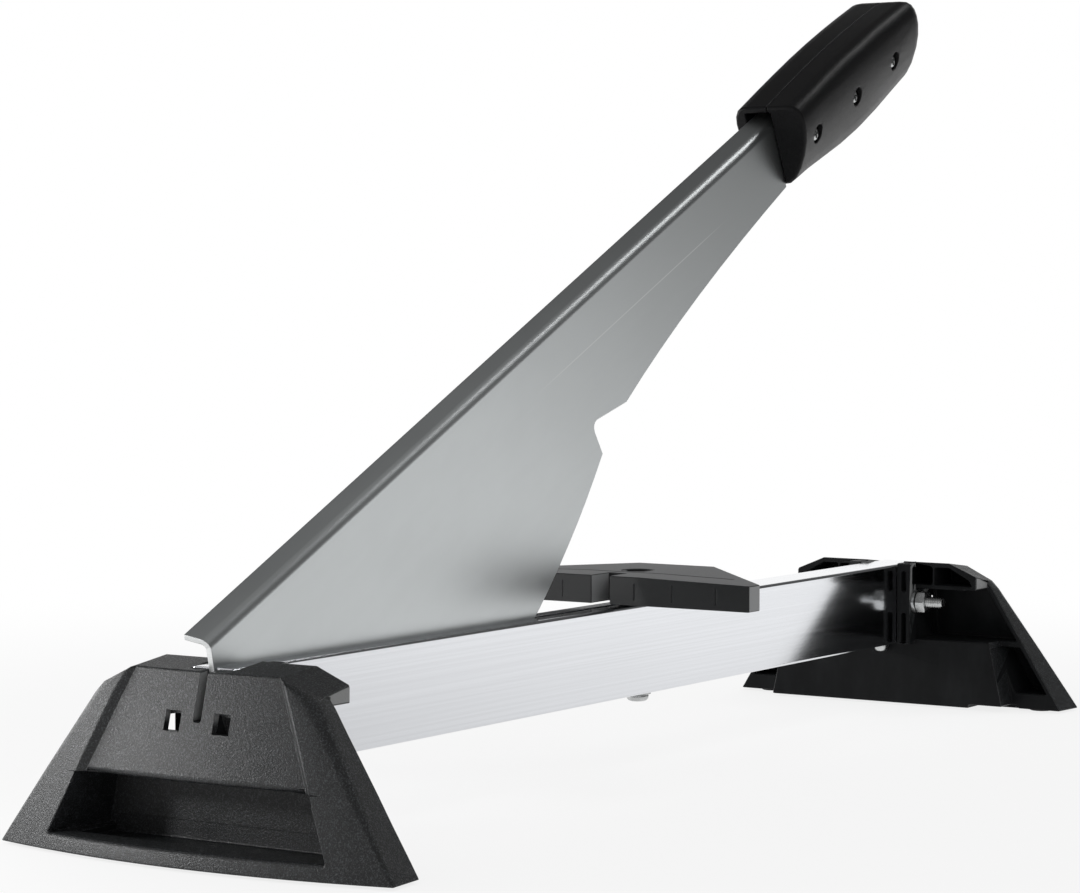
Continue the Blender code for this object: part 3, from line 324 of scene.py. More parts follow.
@finish
def grained_moulding(shader):
    """Anthracite plastic with a fine spark-eroded grain. Its speckles are smoother and carry
    painted highlights in their colour, and its high faces that face -y are painted light grey.
    """
    here = shader.place()
    per_metre = 1.0 / colours().grain
    grain = shader.noise(here, per_metre, 2.0, 0.6)
    fine = shader.noise(here, per_metre * 2.1, 1.0)
    cloud = shader.noise(here, 22.0, 3.0)
    base = tuple(colours().moulding)
    # Painted highlights: the grain's speckles are painted eight times lighter, and made smoother
    painted_glints = (grain * 0.6 + fine * 0.4).above(0.49, 0.63)
    _, across, _ = shader.parts(shader.facing())
    height = shader.parts(here)[2]
    # Painted light: faces that face -y above 52 mm, the rails' ends, are painted light grey in
    # place of the floor and light they reflect
    ends = (across * -1.0).above(0.96, 0.99) * height.above(0.052, 0.056)
    tint = shader.mix(painted_glints, base, times(base, 8.0))
    tint = shader.mix(ends * 0.9, tint, (0.27, 0.275, 0.275))
    rough = 0.42 + cloud * 0.06 - painted_glints * 0.14
    normal = shader.bump(grain + fine * 0.7, 0.00018, 1.0)
    shader.surface(base=tint, rough=rough, normal=normal, gloss=0.6)


@finish
def smooth_moulding(shader):
    """The polished side of the moulding tool: near black, faintly streaked by the flow."""
    here = shader.place((1.0, 1.0, 0.35))
    flow = shader.noise(here, 60.0, 4.0, 0.6)
    base = tuple(colours().inside)
    tint = shader.mix(flow.above(0.35, 0.75), base, times(base, 1.7))
    normal = shader.bump(flow, 0.00025, 0.3)
    shader.surface(base=tint, rough=0.34 + flow * 0.16, normal=normal, gloss=0.1)


@finish
def grip_moulding(shader):
    """Semi-gloss black plastic with a very fine leather-like grain."""
    here = shader.place()
    grain = shader.noise(here, 1300.0, 3.0, 0.65)
    cloud = shader.noise(here, 45.0, 2.0)
    base = tuple(colours().grip)
    tint = shader.mix(grain.above(0.45, 0.75), base, times(base, 1.8))
    rough = 0.26 + grain * 0.12 + cloud * 0.06
    normal = shader.bump(grain, 0.0002, 0.8)
    shader.surface(base=tint, rough=rough, normal=normal, gloss=0.15)


@finish
def stop_moulding(shader):
    """Black plastic of the stop, with a painted sheen on its top, mottled by streaks, and its faces
    that face -y painted light grey.
    """
    here = shader.place()
    _, across, up = shader.parts(shader.facing())
    streaks = shader.noise(shader.place((1.0, 0.25, 1.0)), 160.0, 4.0, 0.65)
    grain = shader.noise(here, 1500.0, 2.0)
    base = tuple(colours().stop)
    # Painted sheen: the upward faces are painted grey, mottled by a streaky noise
    painted_top_sheen = up.above(0.75, 0.98) * (0.55 + streaks * 0.45)
    tint = shader.mix(painted_top_sheen, base, (0.085, 0.088, 0.092))
    # Painted light: the faces that face -y are painted light grey in place of the bright floor they
    # reflect
    tint = shader.mix((across * -1.0).above(0.92, 0.99) * 0.9, tint, (0.30, 0.305, 0.31))
    rough = 0.40 + grain * 0.10 + streaks * 0.06
    normal = shader.bump(grain, 0.0001, 0.4)
    shader.surface(base=tint, rough=rough, normal=normal, gloss=0.5)


@finish
def pad_rubber(shader):
    """Matt black rubber with dust in its pores."""
    pores = shader.noise(shader.place(), 900.0, 3.0)
    base = tuple(colours().rubber)
    tint = shader.mix(pores.above(0.5, 0.8), base, (0.035, 0.034, 0.032))
    normal = shader.bump(pores, 0.0001, 0.5)
    shader.surface(base=tint, rough=0.78 + pores * 0.12, normal=normal, gloss=0.3)


@finish
def drawn_aluminium(shader):
    """Bright aluminium with fine lines along the bar, left by the extrusion die."""
    lines = shader.noise(shader.place((3.0, 900.0, 900.0)), 1.0, 3.0, 0.6)
    bands = shader.noise(shader.place((1.2, 120.0, 120.0)), 1.0, 2.0)
    cloud = shader.noise(shader.place((1.0, 2.0, 2.0)), 14.0, 3.0)
    base = tuple(colours().aluminium)
    tint = shader.mix(lines.above(0.35, 0.7) * 0.5 + cloud * 0.3, times(base, 0.90), base)
    rough = 0.06 + lines * 0.05 + bands * 0.04 + cloud * 0.03
    normal = shader.bump(lines + bands * 0.8, 0.00003, 0.4)
    shader.surface(base=tint, rough=rough, metal=1.0, normal=normal)


@finish
def galvanised_sheet(shader):
    """Satin zinc-coated sheet: soft clouds, a rolling grain along the lever, painted shade
    darkening it towards the grip, and one thin lighter line.
    """
    tilt = (0.0, -LEVER_TILT, 0.0)
    along = shader.place((5.0, 500.0, 500.0), tilt, tuple(PIVOT))
    rolling = shader.noise(along, 1.0, 3.0, 0.6)
    cloud = shader.noise(shader.place((0.5, 1.0, 1.0), tilt), 30.0, 4.0, 0.55)
    x, _, z = shader.parts(shader.place((1.0, 1.0, 1.0), tilt, tuple(PIVOT)))
    # A thin lighter line along the lever, from 0.25 to 0.4 m past the pivot
    drawn = 1.0 - abs(z - 0.0165 + x * 0.010).above(0.0001, 0.0004)
    drawn = drawn * x.above(0.23, 0.27) * (1.0 - x.above(0.38, 0.42))
    base = tuple(colours().sheet)
    tint = shader.mix(cloud.above(0.3, 0.7), times(base, 0.94), base)
    # Painted shade: the sheet is painted darker along the lever towards the grip, in place of a
    # darker reflection there
    tint = shader.mix(x.above(0.14, 0.46) * 0.9, tint, times(base, 0.58))
    tint = shader.mix(drawn * 0.5, tint, (0.85, 0.86, 0.86))
    rough = 0.31 + cloud * 0.06 + rolling * 0.05
    normal = shader.bump(rolling, 0.00003, 0.35)
    shader.surface(base=tint, rough=rough, metal=1.0, normal=normal)


@finish
def cut_sheet(shader):
    """The sheared edge of the sheet, bright and crossed by fine lines."""
    lines = shader.noise(shader.place((1.0, 0.1, 1.0)), 2500.0, 2.0)
    tint = shader.mix(lines, (0.70, 0.72, 0.72), (0.92, 0.93, 0.93))
    normal = shader.bump(lines, 0.00005, 0.5)
    shader.surface(base=tint, rough=0.34 + lines * 0.14, metal=1.0, normal=normal)


@finish
def zinc_plate(shader):
    """Bright zinc plating, a little cloudy."""
    cloud = shader.noise(shader.place(), 420.0, 3.0)
    base = tuple(colours().zinc)
    tint = shader.mix(cloud.above(0.3, 0.7), times(base, 0.82), base)
    normal = shader.bump(cloud, 0.00005, 0.3)
    shader.surface(base=tint, rough=0.20 + cloud * 0.16, metal=1.0, normal=normal)


@finish
def bush_nylon(shader):
    """Natural nylon."""
    cloud = shader.noise(shader.place(), 300.0, 3.0)
    base = tuple(colours().nylon)
    tint = shader.mix(cloud, times(base, 0.85), base)
    shader.surface(base=tint, rough=0.42 + cloud * 0.12, normal=shader.bump(cloud, 0.0001, 0.3),
                   gloss=0.5)


# Meshes

def new_object(name, mesh):
    """Link a mesh into the scene under a name."""
    obj = bpy.data.objects.new(name, mesh)
    bpy.context.scene.collection.objects.link(obj)
    return obj


def mesh_from(bm, name):
    """Turn a bmesh into a mesh that faces outwards."""
    bmesh.ops.recalc_face_normals(bm, faces=bm.faces)
    mesh = bpy.data.meshes.new(name)
    bm.to_mesh(mesh)
    bm.free()
    return mesh


def merged_copy(node, name):
    """A CAD node's mesh with its triangles joined and its flat areas made whole."""
    bm = bmesh.new()
    bm.from_mesh(NODES[node].data)
    bmesh.ops.remove_doubles(bm, verts=bm.verts, dist=MERGE)
    bmesh.ops.dissolve_limit(bm, angle_limit=math.radians(0.2), verts=bm.verts, edges=bm.edges)
    return mesh_from(bm, name)


def prism(outline, low, high):
    """Extrude a flat outline along z."""
    bm = bmesh.new()
    ends = [[bm.verts.new((x, y, z)) for x, y in outline] for z in (low, high)]
    for ring in ends:
        bm.faces.new(ring)
    for i in range(len(outline)):
        j = (i + 1) % len(outline)
        bm.faces.new((ends[0][i], ends[0][j], ends[1][j], ends[1][i]))
    return bm


def turned(profile, steps=48):
    """Turn a profile of radii and heights about z. A radius of 0 at an end closes it."""
    bm = bmesh.new()
    rings = []
    for radius, height in profile:
        if radius == 0.0:
            rings.append([bm.verts.new((0.0, 0.0, height))])
            continue
        angles = [math.tau * i / steps for i in range(steps)]
        rings.append([bm.verts.new((radius * math.cos(a), radius * math.sin(a), height))
                      for a in angles])
    for ring, after in zip(rings, rings[1:]):
        for i in range(steps):
            j = (i + 1) % steps
            corners = [ring[i % len(ring)], ring[j % len(ring)], after[j % len(after)],
                       after[i % len(after)]]
            bm.faces.new(list(dict.fromkeys(corners)))
    return bm


def realise(obj):
    """Make an object's modified shape its own plain mesh."""
    bpy.context.view_layer.update()
    depsgraph = bpy.context.evaluated_depsgraph_get()
    mesh = bpy.data.meshes.new_from_object(obj.evaluated_get(depsgraph), depsgraph=depsgraph)
    mesh.name = obj.name
    obj.modifiers.clear()
    obj.data = mesh
    return obj


def carve(obj, cutters, operation='DIFFERENCE'):
    """Cut bodies from an object's mesh, or keep only what lies in them."""
    tools = []
    for bm in cutters:
        tool = new_object(obj.name + "_tool", mesh_from(bm, obj.name + "_tool"))
        tools.append(tool)
        modifier = obj.modifiers.new("cut", 'BOOLEAN')
        modifier.operation = operation
        modifier.solver = 'EXACT'
        modifier.object = tool
    realise(obj)
    for tool in tools:
        bpy.data.objects.remove(tool, do_unlink=True)
    return obj


def room_beside(edge):
    """How far the shortest edge that leaves an edge's ends sideways reaches."""
    nearly_straight_on = -0.85
    room = math.inf
    for vert in edge.verts:
        way = (edge.other_vert(vert).co - vert.co).normalized()
        for other in vert.link_edges:
            if other is not edge:
                side = other.other_vert(vert).co - vert.co
                if side.normalized().dot(way) > nearly_straight_on:
                    room = min(room, side.length)
    return room


def gather_strays(mesh, unrounded, reach):
    """Put each vertex that the rounding throws off the shape back on its nearest neighbour."""
    strays = {vert.index for vert in mesh.vertices if unrounded.find_nearest(vert.co)[3] > reach}
    for stray in strays:
        spot = mesh.vertices[stray].co
        beside = [end for edge in mesh.edges if stray in edge.vertices for end in edge.vertices
                  if end not in strays]
        if beside:
            nearest = min(beside, key=lambda end: (mesh.vertices[end].co - spot).length)
            mesh.vertices[stray].co = mesh.vertices[nearest].co


def tree_of(mesh):
    """A mesh's surface, for rays and nearest points."""
    return BVHTree.FromPolygons([vert.co for vert in mesh.vertices],
                                [polygon.vertices for polygon in mesh.polygons])


def soften(obj, radius, segments=2, least_angle=30.0, others=()):
    """Round the sharp edges of a mesh and shade it smooth between them.

    others lists pairs of a radius and a test of an edge's two ends, for edges with another round.
    An edge with little room beside it gets a smaller round.
    """
    rounds_in_room = 2.3
    widest = max([radius, *(size for size, _ in others)])
    bm = bmesh.new()
    bm.from_mesh(obj.data)
    weights = bm.edges.layers.float.new("bevel_weight_edge")
    for edge in bm.edges:
        if not edge.is_manifold or edge.calc_face_angle() < math.radians(least_angle):
            continue
        ends = [vert.co for vert in edge.verts]
        wanted = next((size for size, test in others if test(*ends)), radius)
        edge[weights] = min(wanted, room_beside(edge) / rounds_in_room) / widest
    bm.to_mesh(obj.data)
    bm.free()
    unrounded = tree_of(obj.data)
    obj.data.shade_smooth()
    bevel = obj.modifiers.new("round", 'BEVEL')
    bevel.width = widest
    bevel.segments = segments
    bevel.limit_method = 'WEIGHT'
    bevel.use_clamp_overlap = False
    bevel.miter_outer = 'MITER_ARC'
    even = obj.modifiers.new("even", 'WEIGHTED_NORMAL')
    even.mode = 'FACE_AREA'
    even.weight = 100
    realise(obj)
    gather_strays(obj.data, unrounded, widest / 2)
    return obj


def finish_with(obj, materials, choose=None):
    """Give an object its materials, and each face the one that choose picks."""
    obj.data.materials.clear()
    for material in materials:
        obj.data.materials.append(material)
    for polygon in obj.data.polygons:
        polygon.material_index = choose(polygon) if choose else 0
    return obj


def settle(obj, body, slot, *nodes):
    """Ride a finished piece on its body in place of its CAD nodes. The slot argument is not used.
    """
    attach(obj, body)
    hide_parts(*nodes)


def refinish(material, *nodes):
    """Give CAD nodes that stay in view a procedural material."""
    for node in nodes:
        mesh = NODES[node].data
        mesh.materials.clear()
        mesh.materials.append(material)


def body_of(node):
    """The body that a CAD node rides on."""
    return NODES[node]["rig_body"]


def centre_of(node):
    """The middle of a CAD node's box."""
    low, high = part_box(node)
    return (low + high) / 2


# Rows of like shapes, by Geometry Nodes

def row_tree():
    """A tree that sets copies of one shape in a straight row and gives them a finish."""
    tree = bpy.data.node_groups.get("shape_row")
    if tree:
        return tree
    tree = bpy.data.node_groups.new("shape_row", 'GeometryNodeTree')
    tree.is_modifier = True
    for name, kind in (("Shape", 'Object'), ("Count", 'Int'), ("First", 'Vector'),
                       ("Step", 'Vector'), ("Turn", 'Vector'), ("Finish", 'Material')):
        tree.interface.new_socket(name, in_out='INPUT', socket_type='NodeSocket' + kind)
    tree.interface.new_socket("Geometry", in_out='OUTPUT', socket_type='NodeSocketGeometry')
    nodes, links = tree.nodes, tree.links
    given = nodes.new("NodeGroupInput")
    line = nodes.new("GeometryNodeMeshLine")
    line.mode = 'OFFSET'
    links.new(given.outputs["Count"], line.inputs["Count"])
    links.new(given.outputs["First"], line.inputs["Start Location"])
    links.new(given.outputs["Step"], line.inputs["Offset"])
    shape = nodes.new("GeometryNodeObjectInfo")
    links.new(given.outputs["Shape"], shape.inputs["Object"])
    turn = nodes.new("FunctionNodeEulerToRotation")
    links.new(given.outputs["Turn"], turn.inputs["Euler"])
    copies = nodes.new("GeometryNodeInstanceOnPoints")
    links.new(line.outputs["Mesh"], copies.inputs["Points"])
    links.new(shape.outputs["Geometry"], copies.inputs["Instance"])
    links.new(turn.outputs["Rotation"], copies.inputs["Rotation"])
    real = nodes.new("GeometryNodeRealizeInstances")
    links.new(copies.outputs["Instances"], real.inputs["Geometry"])
    coat = nodes.new("GeometryNodeSetMaterial")
    links.new(real.outputs["Geometry"], coat.inputs["Geometry"])
    links.new(given.outputs["Finish"], coat.inputs["Material"])
    result = nodes.new("NodeGroupOutput")
    links.new(coat.outputs["Geometry"], result.inputs["Geometry"])
    return tree


def row(name, shape, material, first, step=(0.0, 0.0, 0.0), count=1, turn=(0.0, 0.0, 0.0)):
    """One piece made of copies of a shape, which is used up."""
    obj = new_object(name, bpy.data.meshes.new(name))
    tree = row_tree()
    modifier = obj.modifiers.new("row", 'NODES')
    modifier.node_group = tree
    values = {"Shape": shape, "Count": count, "First": first, "Step": step, "Turn": turn,
              "Finish": material}
    for item in tree.interface.items_tree:
        if item.in_out == 'INPUT':
            modifier[item.identifier] = values[item.name]
    realise(obj)
    bpy.data.objects.remove(shape, do_unlink=True)
    obj.data.set_sharp_from_angle(angle=math.radians(40.0))
    return obj


# Fastener shapes, each along z from the face that it bears on

def hexagon(flats):
    """Outline of a hexagon from its width across the flats."""
    radius = flats / math.sqrt(3)
    return [(radius * math.cos(math.pi / 3 * i), radius * math.sin(math.pi / 3 * i))
            for i in range(6)]


def hex_block(name, flats, low, high, both_ends=True):
    """A hexagon with its corners turned off at one or both ends."""
    obj = new_object(name, mesh_from(prism(hexagon(flats), low, high), name))
    outer, inner = flats * 0.62, flats * 0.49
    slope = (outer - inner) * 0.55
    upper = [(outer, high - slope), (inner, high), (0.0, high)]
    lower = [(0.0, low), (outer, low)]
    if both_ends:
        lower = [(0.0, low), (inner, low), (outer, low + slope)]
    return carve(obj, [turned(lower + upper)], 'INTERSECT')


def thread_body(radius, low, high, pitch, depth):
    """A threaded rod: a ridge that winds round it and dies out at its chamfered end."""
    steps, per_turn = 32, 8
    rows = max(2, round((high - low) / pitch * per_turn))
    bm = bmesh.new()
    rings = []
    for i in range(rows + 1):
        z = low + (high - low) * i / rows
        fade = min(1.0, (high - z) / pitch)
        ring = []
        for j in range(steps):
            phase = ((z - low) / pitch - j / steps) % 1.0
            ridge = 1.0 - abs(2.0 * phase - 1.0)
            r = radius - depth * (1.0 - ridge * fade) - depth * 0.8 * (1.0 - fade)
            angle = math.tau * j / steps
            ring.append(bm.verts.new((r * math.cos(angle), r * math.sin(angle), z)))
        rings.append(ring)
    for ring, after in zip(rings, rings[1:]):
        for j in range(steps):
            k = (j + 1) % steps
            bm.faces.new((ring[j], ring[k], after[k], after[j]))
    bm.faces.new(rings[0])
    bm.faces.new(rings[-1])
    return bm


def join(target, bodies):
    """Add further closed bodies to an object's mesh."""
    bm = bmesh.new()
    bm.from_mesh(target.data)
    for body in bodies:
        mesh = mesh_from(body, "joined")
        bm.from_mesh(mesh)
        bpy.data.meshes.remove(mesh)
    bm.to_mesh(target.data)
    bm.free()
    return target


def screw_shape(name, head, height, shank, reach, recess):
    """A pan-headed screw with a cross recess, its head below zero and its shank above."""
    radius = head / 2
    profile = [(0.0, -height)]
    for i in range(7):
        angle = math.pi / 2 * i / 6
        profile.append((radius * (0.55 + 0.45 * math.sin(angle)),
                        -height * (0.35 + 0.65 * math.cos(angle))))
    profile += [(radius, -height * 0.08), (radius * 0.96, 0.0), (shank / 2, 0.0),
                (shank / 2, reach - shank / 2), (shank / 5, reach), (0.0, reach)]
    obj = new_object(name, mesh_from(turned(profile), name))
    arm, half = recess / 2, recess * 0.13
    floor = -height * 0.35
    cutters = []
    for across, along in ((arm, half), (half, arm)):
        outline = [(-across, -along), (across, -along), (across, along), (-across, along)]
        cutters.append(prism(outline, -height * 1.2, floor))
    carve(obj, cutters)
    obj.data.shade_smooth()
    return obj


# The stage and the light

def aim(obj, place, target):
    """Stand an object at a place, looking at a target."""
    obj.location = place
    obj.rotation_euler = (Vector(target) - Vector(place)).to_track_quat('-Z', 'Y').to_euler()


def soft_box(name, place, target, width, height, power):
    """A rectangular studio light."""
    data = bpy.data.lights.new(name, 'AREA')
    data.shape = 'RECTANGLE'
    data.size, data.size_y = width, height
    data.energy = power
    obj = bpy.data.objects.new(name, data)
    bpy.context.scene.collection.objects.link(obj)
    aim(obj, place, target)
    obj.visible_camera = False


def studio_world():
    """White to the camera; to metal, a white backdrop ahead and darker walls and ceiling."""
    world = bpy.data.worlds.new("studio")
    bpy.context.scene.world = world
    shader = ShaderMaker(world)
    x, y, z = shader.parts(shader.field("ShaderNodeTexCoord", output="Generated"))
    camera, glossy, through = shader.rays()
    ahead = x * AHEAD_X + y * AHEAD_Y
    right = x * AHEAD_X - y * AHEAD_Y
    backdrop = ahead.above(0.72, 0.92) * (1.0 - z.above(0.2, 0.5))
    low = 1.0 - z.above(-0.05, 0.09)
    walls = 0.08 + 0.56 * right.above(0.1, 0.8) * low + 0.18 * (right * -1.0).above(0.0, 0.8)
    walls = walls + 0.12 * z.above(0.80, 0.98)
    room = shader.field("ShaderNodeBackground", None,
                        {"Color": WHITE, "Strength": glossy * walls + (1.0 - glossy) * AMBIENT})
    white = shader.field("ShaderNodeBackground", None, {"Color": WHITE, "Strength": 1.0})
    seen = (camera + through + glossy * backdrop).math('MINIMUM', 1.0)
    both = shader.field("ShaderNodeMixShader", None, {0: seen, 1: room, 2: white})
    shader.node("ShaderNodeOutputWorld", None, {"Surface": both})


def floor_material():
    """A pale floor that reads white to the camera and keeps the object's shadow."""
    material = bpy.data.materials.new("studio_floor")
    shader = ShaderMaker(material)
    level = colours().floor
    camera, glossy, through = shader.rays()
    mottle = shader.noise(shader.place(), 3.0, 2.0)
    pale = (level, level, level)
    tint = shader.mix(mottle, pale, times(pale, 0.97))
    matt = shader.field("ShaderNodeBsdfDiffuse", None, {"Color": tint})
    white = shader.field("ShaderNodeEmission", None, {"Color": WHITE, "Strength": 1.0})
    x, y, _ = shader.parts(shader.place())
    away = ((x * x + y * y) ** 0.5).above(0.33, 0.9)
    ahead = (x * AHEAD_X + y * AHEAD_Y).above(-0.6, 0.3)
    seen = (camera + through + glossy * ahead).math('MINIMUM', 1.0) * (0.82 + away * 0.18)
    both = shader.field("ShaderNodeMixShader", None, {0: seen, 1: matt, 2: white})
    shader.node("ShaderNodeOutputMaterial", None, {"Surface": both})
    return material


# Operators

class CUTTER_OT_feet(bpy.types.Operator):
    """Round off the two feet: grained outside, smooth and black inside"""
    bl_idname = "cutter.feet"
    bl_label = "Feet"

    def execute(self, context):
        for node in ("foot_near", "foot_far"):
            obj = new_object(node + "_shell", merged_copy(node, node + "_shell"))
            outward = math.copysign(1.0, centre_of(node).x)
            soften(obj, sizes().foot_round, 3, others=self.other_rounds(outward))
            finish_with(obj, [grained_moulding(), smooth_moulding()],
                        self.seen_from_outside(obj, outward))
            settle(obj, body_of(node), "moulded_plastic", node)
        return {'FINISHED'}

    @staticmethod
    def other_rounds(outward):
        """The panel's nose, the sill's ridge, the crisp windows and the sharp ribs behind them."""
        def near(value, wanted):
            return abs(value - wanted) < PLACE_SLACK

        def front(a, b):
            return min(a.x * outward, b.x * outward)

        def half_width(a, b):
            return max(abs(a.y), abs(b.y))

        def rib(a, b):
            return near(abs(a.y), RIB_SIDE) and near(abs(b.y), RIB_SIDE)

        def lip(a, b):
            level = near(a.z, LIP_LEVEL) and near(b.z, LIP_LEVEL)
            return level and front(a, b) > LIP_FRONT and half_width(a, b) < LIP_HALF

        def sill(a, b):
            return near(a.z, SILL_LEVEL) and near(b.z, SILL_LEVEL) and front(a, b) > SILL_FRONT

        def punched(a, b):
            low, high = min(a.z, b.z), max(a.z, b.z)
            window = low > WINDOW_FOOT and high < WINDOW_TOP and half_width(a, b) < WINDOW_HALF
            slot = low > SLOT_FOOT and half_width(a, b) < SLOT_HALF
            return (window or slot) and front(a, b) > PANEL_BACK
        return ((0.0, rib), (sizes().lip_round, lip), (sizes().sill_round, sill),
                (sizes().crisp_round, punched))

    @staticmethod
    def seen_from_outside(obj, outward):
        """A test of whether a face can be seen from the foot's outer end, 0, or not, 1."""
        tree = tree_of(obj.data)
        ways = [Vector((outward * x, y, z)).normalized() for x, y, z in (
            (1.0, 0.0, 0.0), (0.7, 0.7, 0.0), (0.7, -0.7, 0.0), (0.6, 0.0, 0.8), (0.5, 0.5, 0.7),
            (0.5, -0.5, 0.7), (0.2, 1.0, 0.0), (0.2, -1.0, 0.0), (0.2, 0.0, 1.0))]
        lift, reach, least_facing = 0.0002, 0.4, 0.12

        def choose(polygon):
            start = polygon.center + polygon.normal * lift
            for way in ways:
                if polygon.normal.dot(way) > least_facing:
                    if tree.ray_cast(start, way, reach)[0] is None:
                        return 0
            return 1
        return choose


class CUTTER_OT_pads(bpy.types.Operator):
    """Set the rubber pads under the feet"""
    bl_idname = "cutter.pads"
    bl_label = "Rubber pads"

    def execute(self, context):
        pads = [f"foot_pad_{number}" for number in range(1, 5)]
        for first, last in (pads[:2], pads[2:]):
            low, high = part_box(first)
            radius, height, edge = (high.x - low.x) / 2, high.z - low.z, sizes().pad_round
            name = first.rsplit("_", 1)[0] + ("s_near" if low.x < 0.0 else "s_far")
            profile = [(0.0, 0.0), (radius - edge, 0.0), (radius - edge * 0.3, edge * 0.3),
                       (radius, edge), (radius, height), (0.0, height)]
            shape = new_object(name + "_shape", mesh_from(turned(profile), name))
            shape.data.shade_smooth()
            start = centre_of(first)
            start.z = low.z
            step = centre_of(last) - centre_of(first)
            obj = row(name, shape, pad_rubber(), start, step, 2)
            settle(obj, body_of(first), "pad_rubber", first, last)
        return {'FINISHED'}


class CUTTER_OT_bar(bpy.types.Operator):
    """Give the slotted bar its drawn finish and soft slot edges"""
    bl_idname = "cutter.bar"
    bl_label = "Bar"

    def execute(self, context):
        obj = new_object("bar_tube", merged_copy("bar", "bar_tube"))
        soften(obj, sizes().sheet_round, least_angle=50.0)
        finish_with(obj, [drawn_aluminium()])
        settle(obj, body_of("bar"), "bar_aluminium", "bar")
        refinish(smooth_moulding(), "bar_plug")
        refinish(bush_nylon(), "pivot_bush_left", "pivot_bush_right")
        return {'FINISHED'}


class CUTTER_OT_blade(bpy.types.Operator):
    """Give the bent blade plate its sheet finish and bright sheared edges"""
    bl_idname = "cutter.blade"
    bl_label = "Blade"

    def execute(self, context):
        obj = new_object("blade_plate", merged_copy("lever_blade", "blade_plate"))
        soften(obj, sizes().sheet_round, least_angle=50.0)
        back = Matrix.Rotation(LEVER_TILT, 3, 'Y')

        def choose(polygon):
            normal = back @ polygon.normal
            place = back @ (polygon.center - PIVOT)
            sheared = abs(normal.x) > 0.6 or (abs(normal.y) < 0.2 and place.z < BEND_LEVEL)
            return 1 if sheared else 0
        finish_with(obj, [galvanised_sheet(), cut_sheet()], choose)
        settle(obj, body_of("lever_blade"), "blade_steel", "lever_blade")
        return {'FINISHED'}


class CUTTER_OT_grip(bpy.types.Operator):
    """Round off the two shells of the grip"""
    bl_idname = "cutter.grip"
    bl_label = "Grip"

    def execute(self, context):
        for node in ("handle_left", "handle_right"):
            obj = new_object(node + "_shell", merged_copy(node, node + "_shell"))
            soften(obj, sizes().grip_round, least_angle=38.0)
            finish_with(obj, [grip_moulding()])
            settle(obj, body_of(node), "grip_plastic", node)
        return {'FINISHED'}


class CUTTER_OT_stop(bpy.types.Operator):
    """Round off the stop and cut the upright marks in its front"""
    bl_idname = "cutter.stop"
    bl_label = "Stop"

    def execute(self, context):
        obj = new_object("fence_body", merged_copy("fence", "fence_body"))
        low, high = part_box("fence")
        half, deep = sizes().mark_width / 2, sizes().mark_depth
        inset = (high.z - low.z) * 0.16
        cutters = []
        for y in STOP_MARKS:
            outline = [(low.x - deep, y - half), (low.x + deep, y - half),
                       (low.x + deep, y + half), (low.x - deep, y + half)]
            cutters.append(prism(outline, low.z + inset * 1.6, high.z - inset * 1.4))
        carve(obj, cutters)
        soften(obj, sizes().stop_round)
        finish_with(obj, [stop_moulding()])
        settle(obj, body_of("fence"), "fence_plastic", "fence")
        return {'FINISHED'}


class CUTTER_OT_cross_bolts(bpy.types.Operator):
    """Put a threaded bolt with its nut and washers across each foot"""
    bl_idname = "cutter.cross_bolts"
    bl_label = "Cross bolts"

    def execute(self, context):
        low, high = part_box("pivot_bolt")
        nut_low, nut_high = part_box("pivot_nut")
        _, washer_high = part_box("pivot_washer_left")
        flats = high.z - low.z
        depth = sizes().thread_depth
        seat = washer_high.y + BEARING_GAP
        head = high.y - seat
        reach = seat - low.y
        shape = hex_block("bolt_shape", flats, -head, 0.0, both_ends=False)
        self.flip(shape, head)
        plain_part = seat - nut_high.y
        rod = turned([(0.0, -head / 2), (BOLT_RADIUS, -head / 2), (BOLT_RADIUS, plain_part),
                      (BOLT_RADIUS - depth, plain_part + depth), (0.0, plain_part + depth)], 32)
        thread = thread_body(BOLT_RADIUS, plain_part, reach, sizes().thread_pitch, depth)
        join(shape, [rod, thread])
        shape.data.shade_smooth()
        along_y = (math.pi / 2, 0.0, 0.0)
        step = centre_of("clamp_bolt") - centre_of("pivot_bolt")
        start = centre_of("pivot_bolt")
        start.y = seat
        obj = row("cross_bolts", shape, zinc_plate(), start, step, 2, along_y)
        settle(obj, body_of("pivot_bolt"), "zinc_steel", "pivot_bolt", "clamp_bolt")
        height = nut_high.y - nut_low.y
        nut = hex_block("nut_shape", flats, 0.0, height)
        bore = BOLT_RADIUS + THREAD_GAP
        carve(nut, [turned([(0.0, -OVERRUN), (bore, -OVERRUN), (bore, height + OVERRUN),
                            (0.0, height + OVERRUN)], 32)])
        nut.data.shade_smooth()
        start.y = nut_high.y
        obj = row("cross_nuts", nut, zinc_plate(), start, step, 2, along_y)
        settle(obj, body_of("pivot_nut"), "zinc_steel", "pivot_nut", "clamp_nut")
        refinish(zinc_plate(), "pivot_washer_left", "pivot_washer_right", "clamp_washer_left",
                 "clamp_washer_right")
        return {'FINISHED'}

    @staticmethod
    def flip(shape, head):
        """Turn the chamfered end of the bolt's head outwards."""
        turn = Matrix.Translation((0.0, 0.0, -head)) @ Matrix.Rotation(math.pi, 4, 'X')
        shape.data.transform(turn)


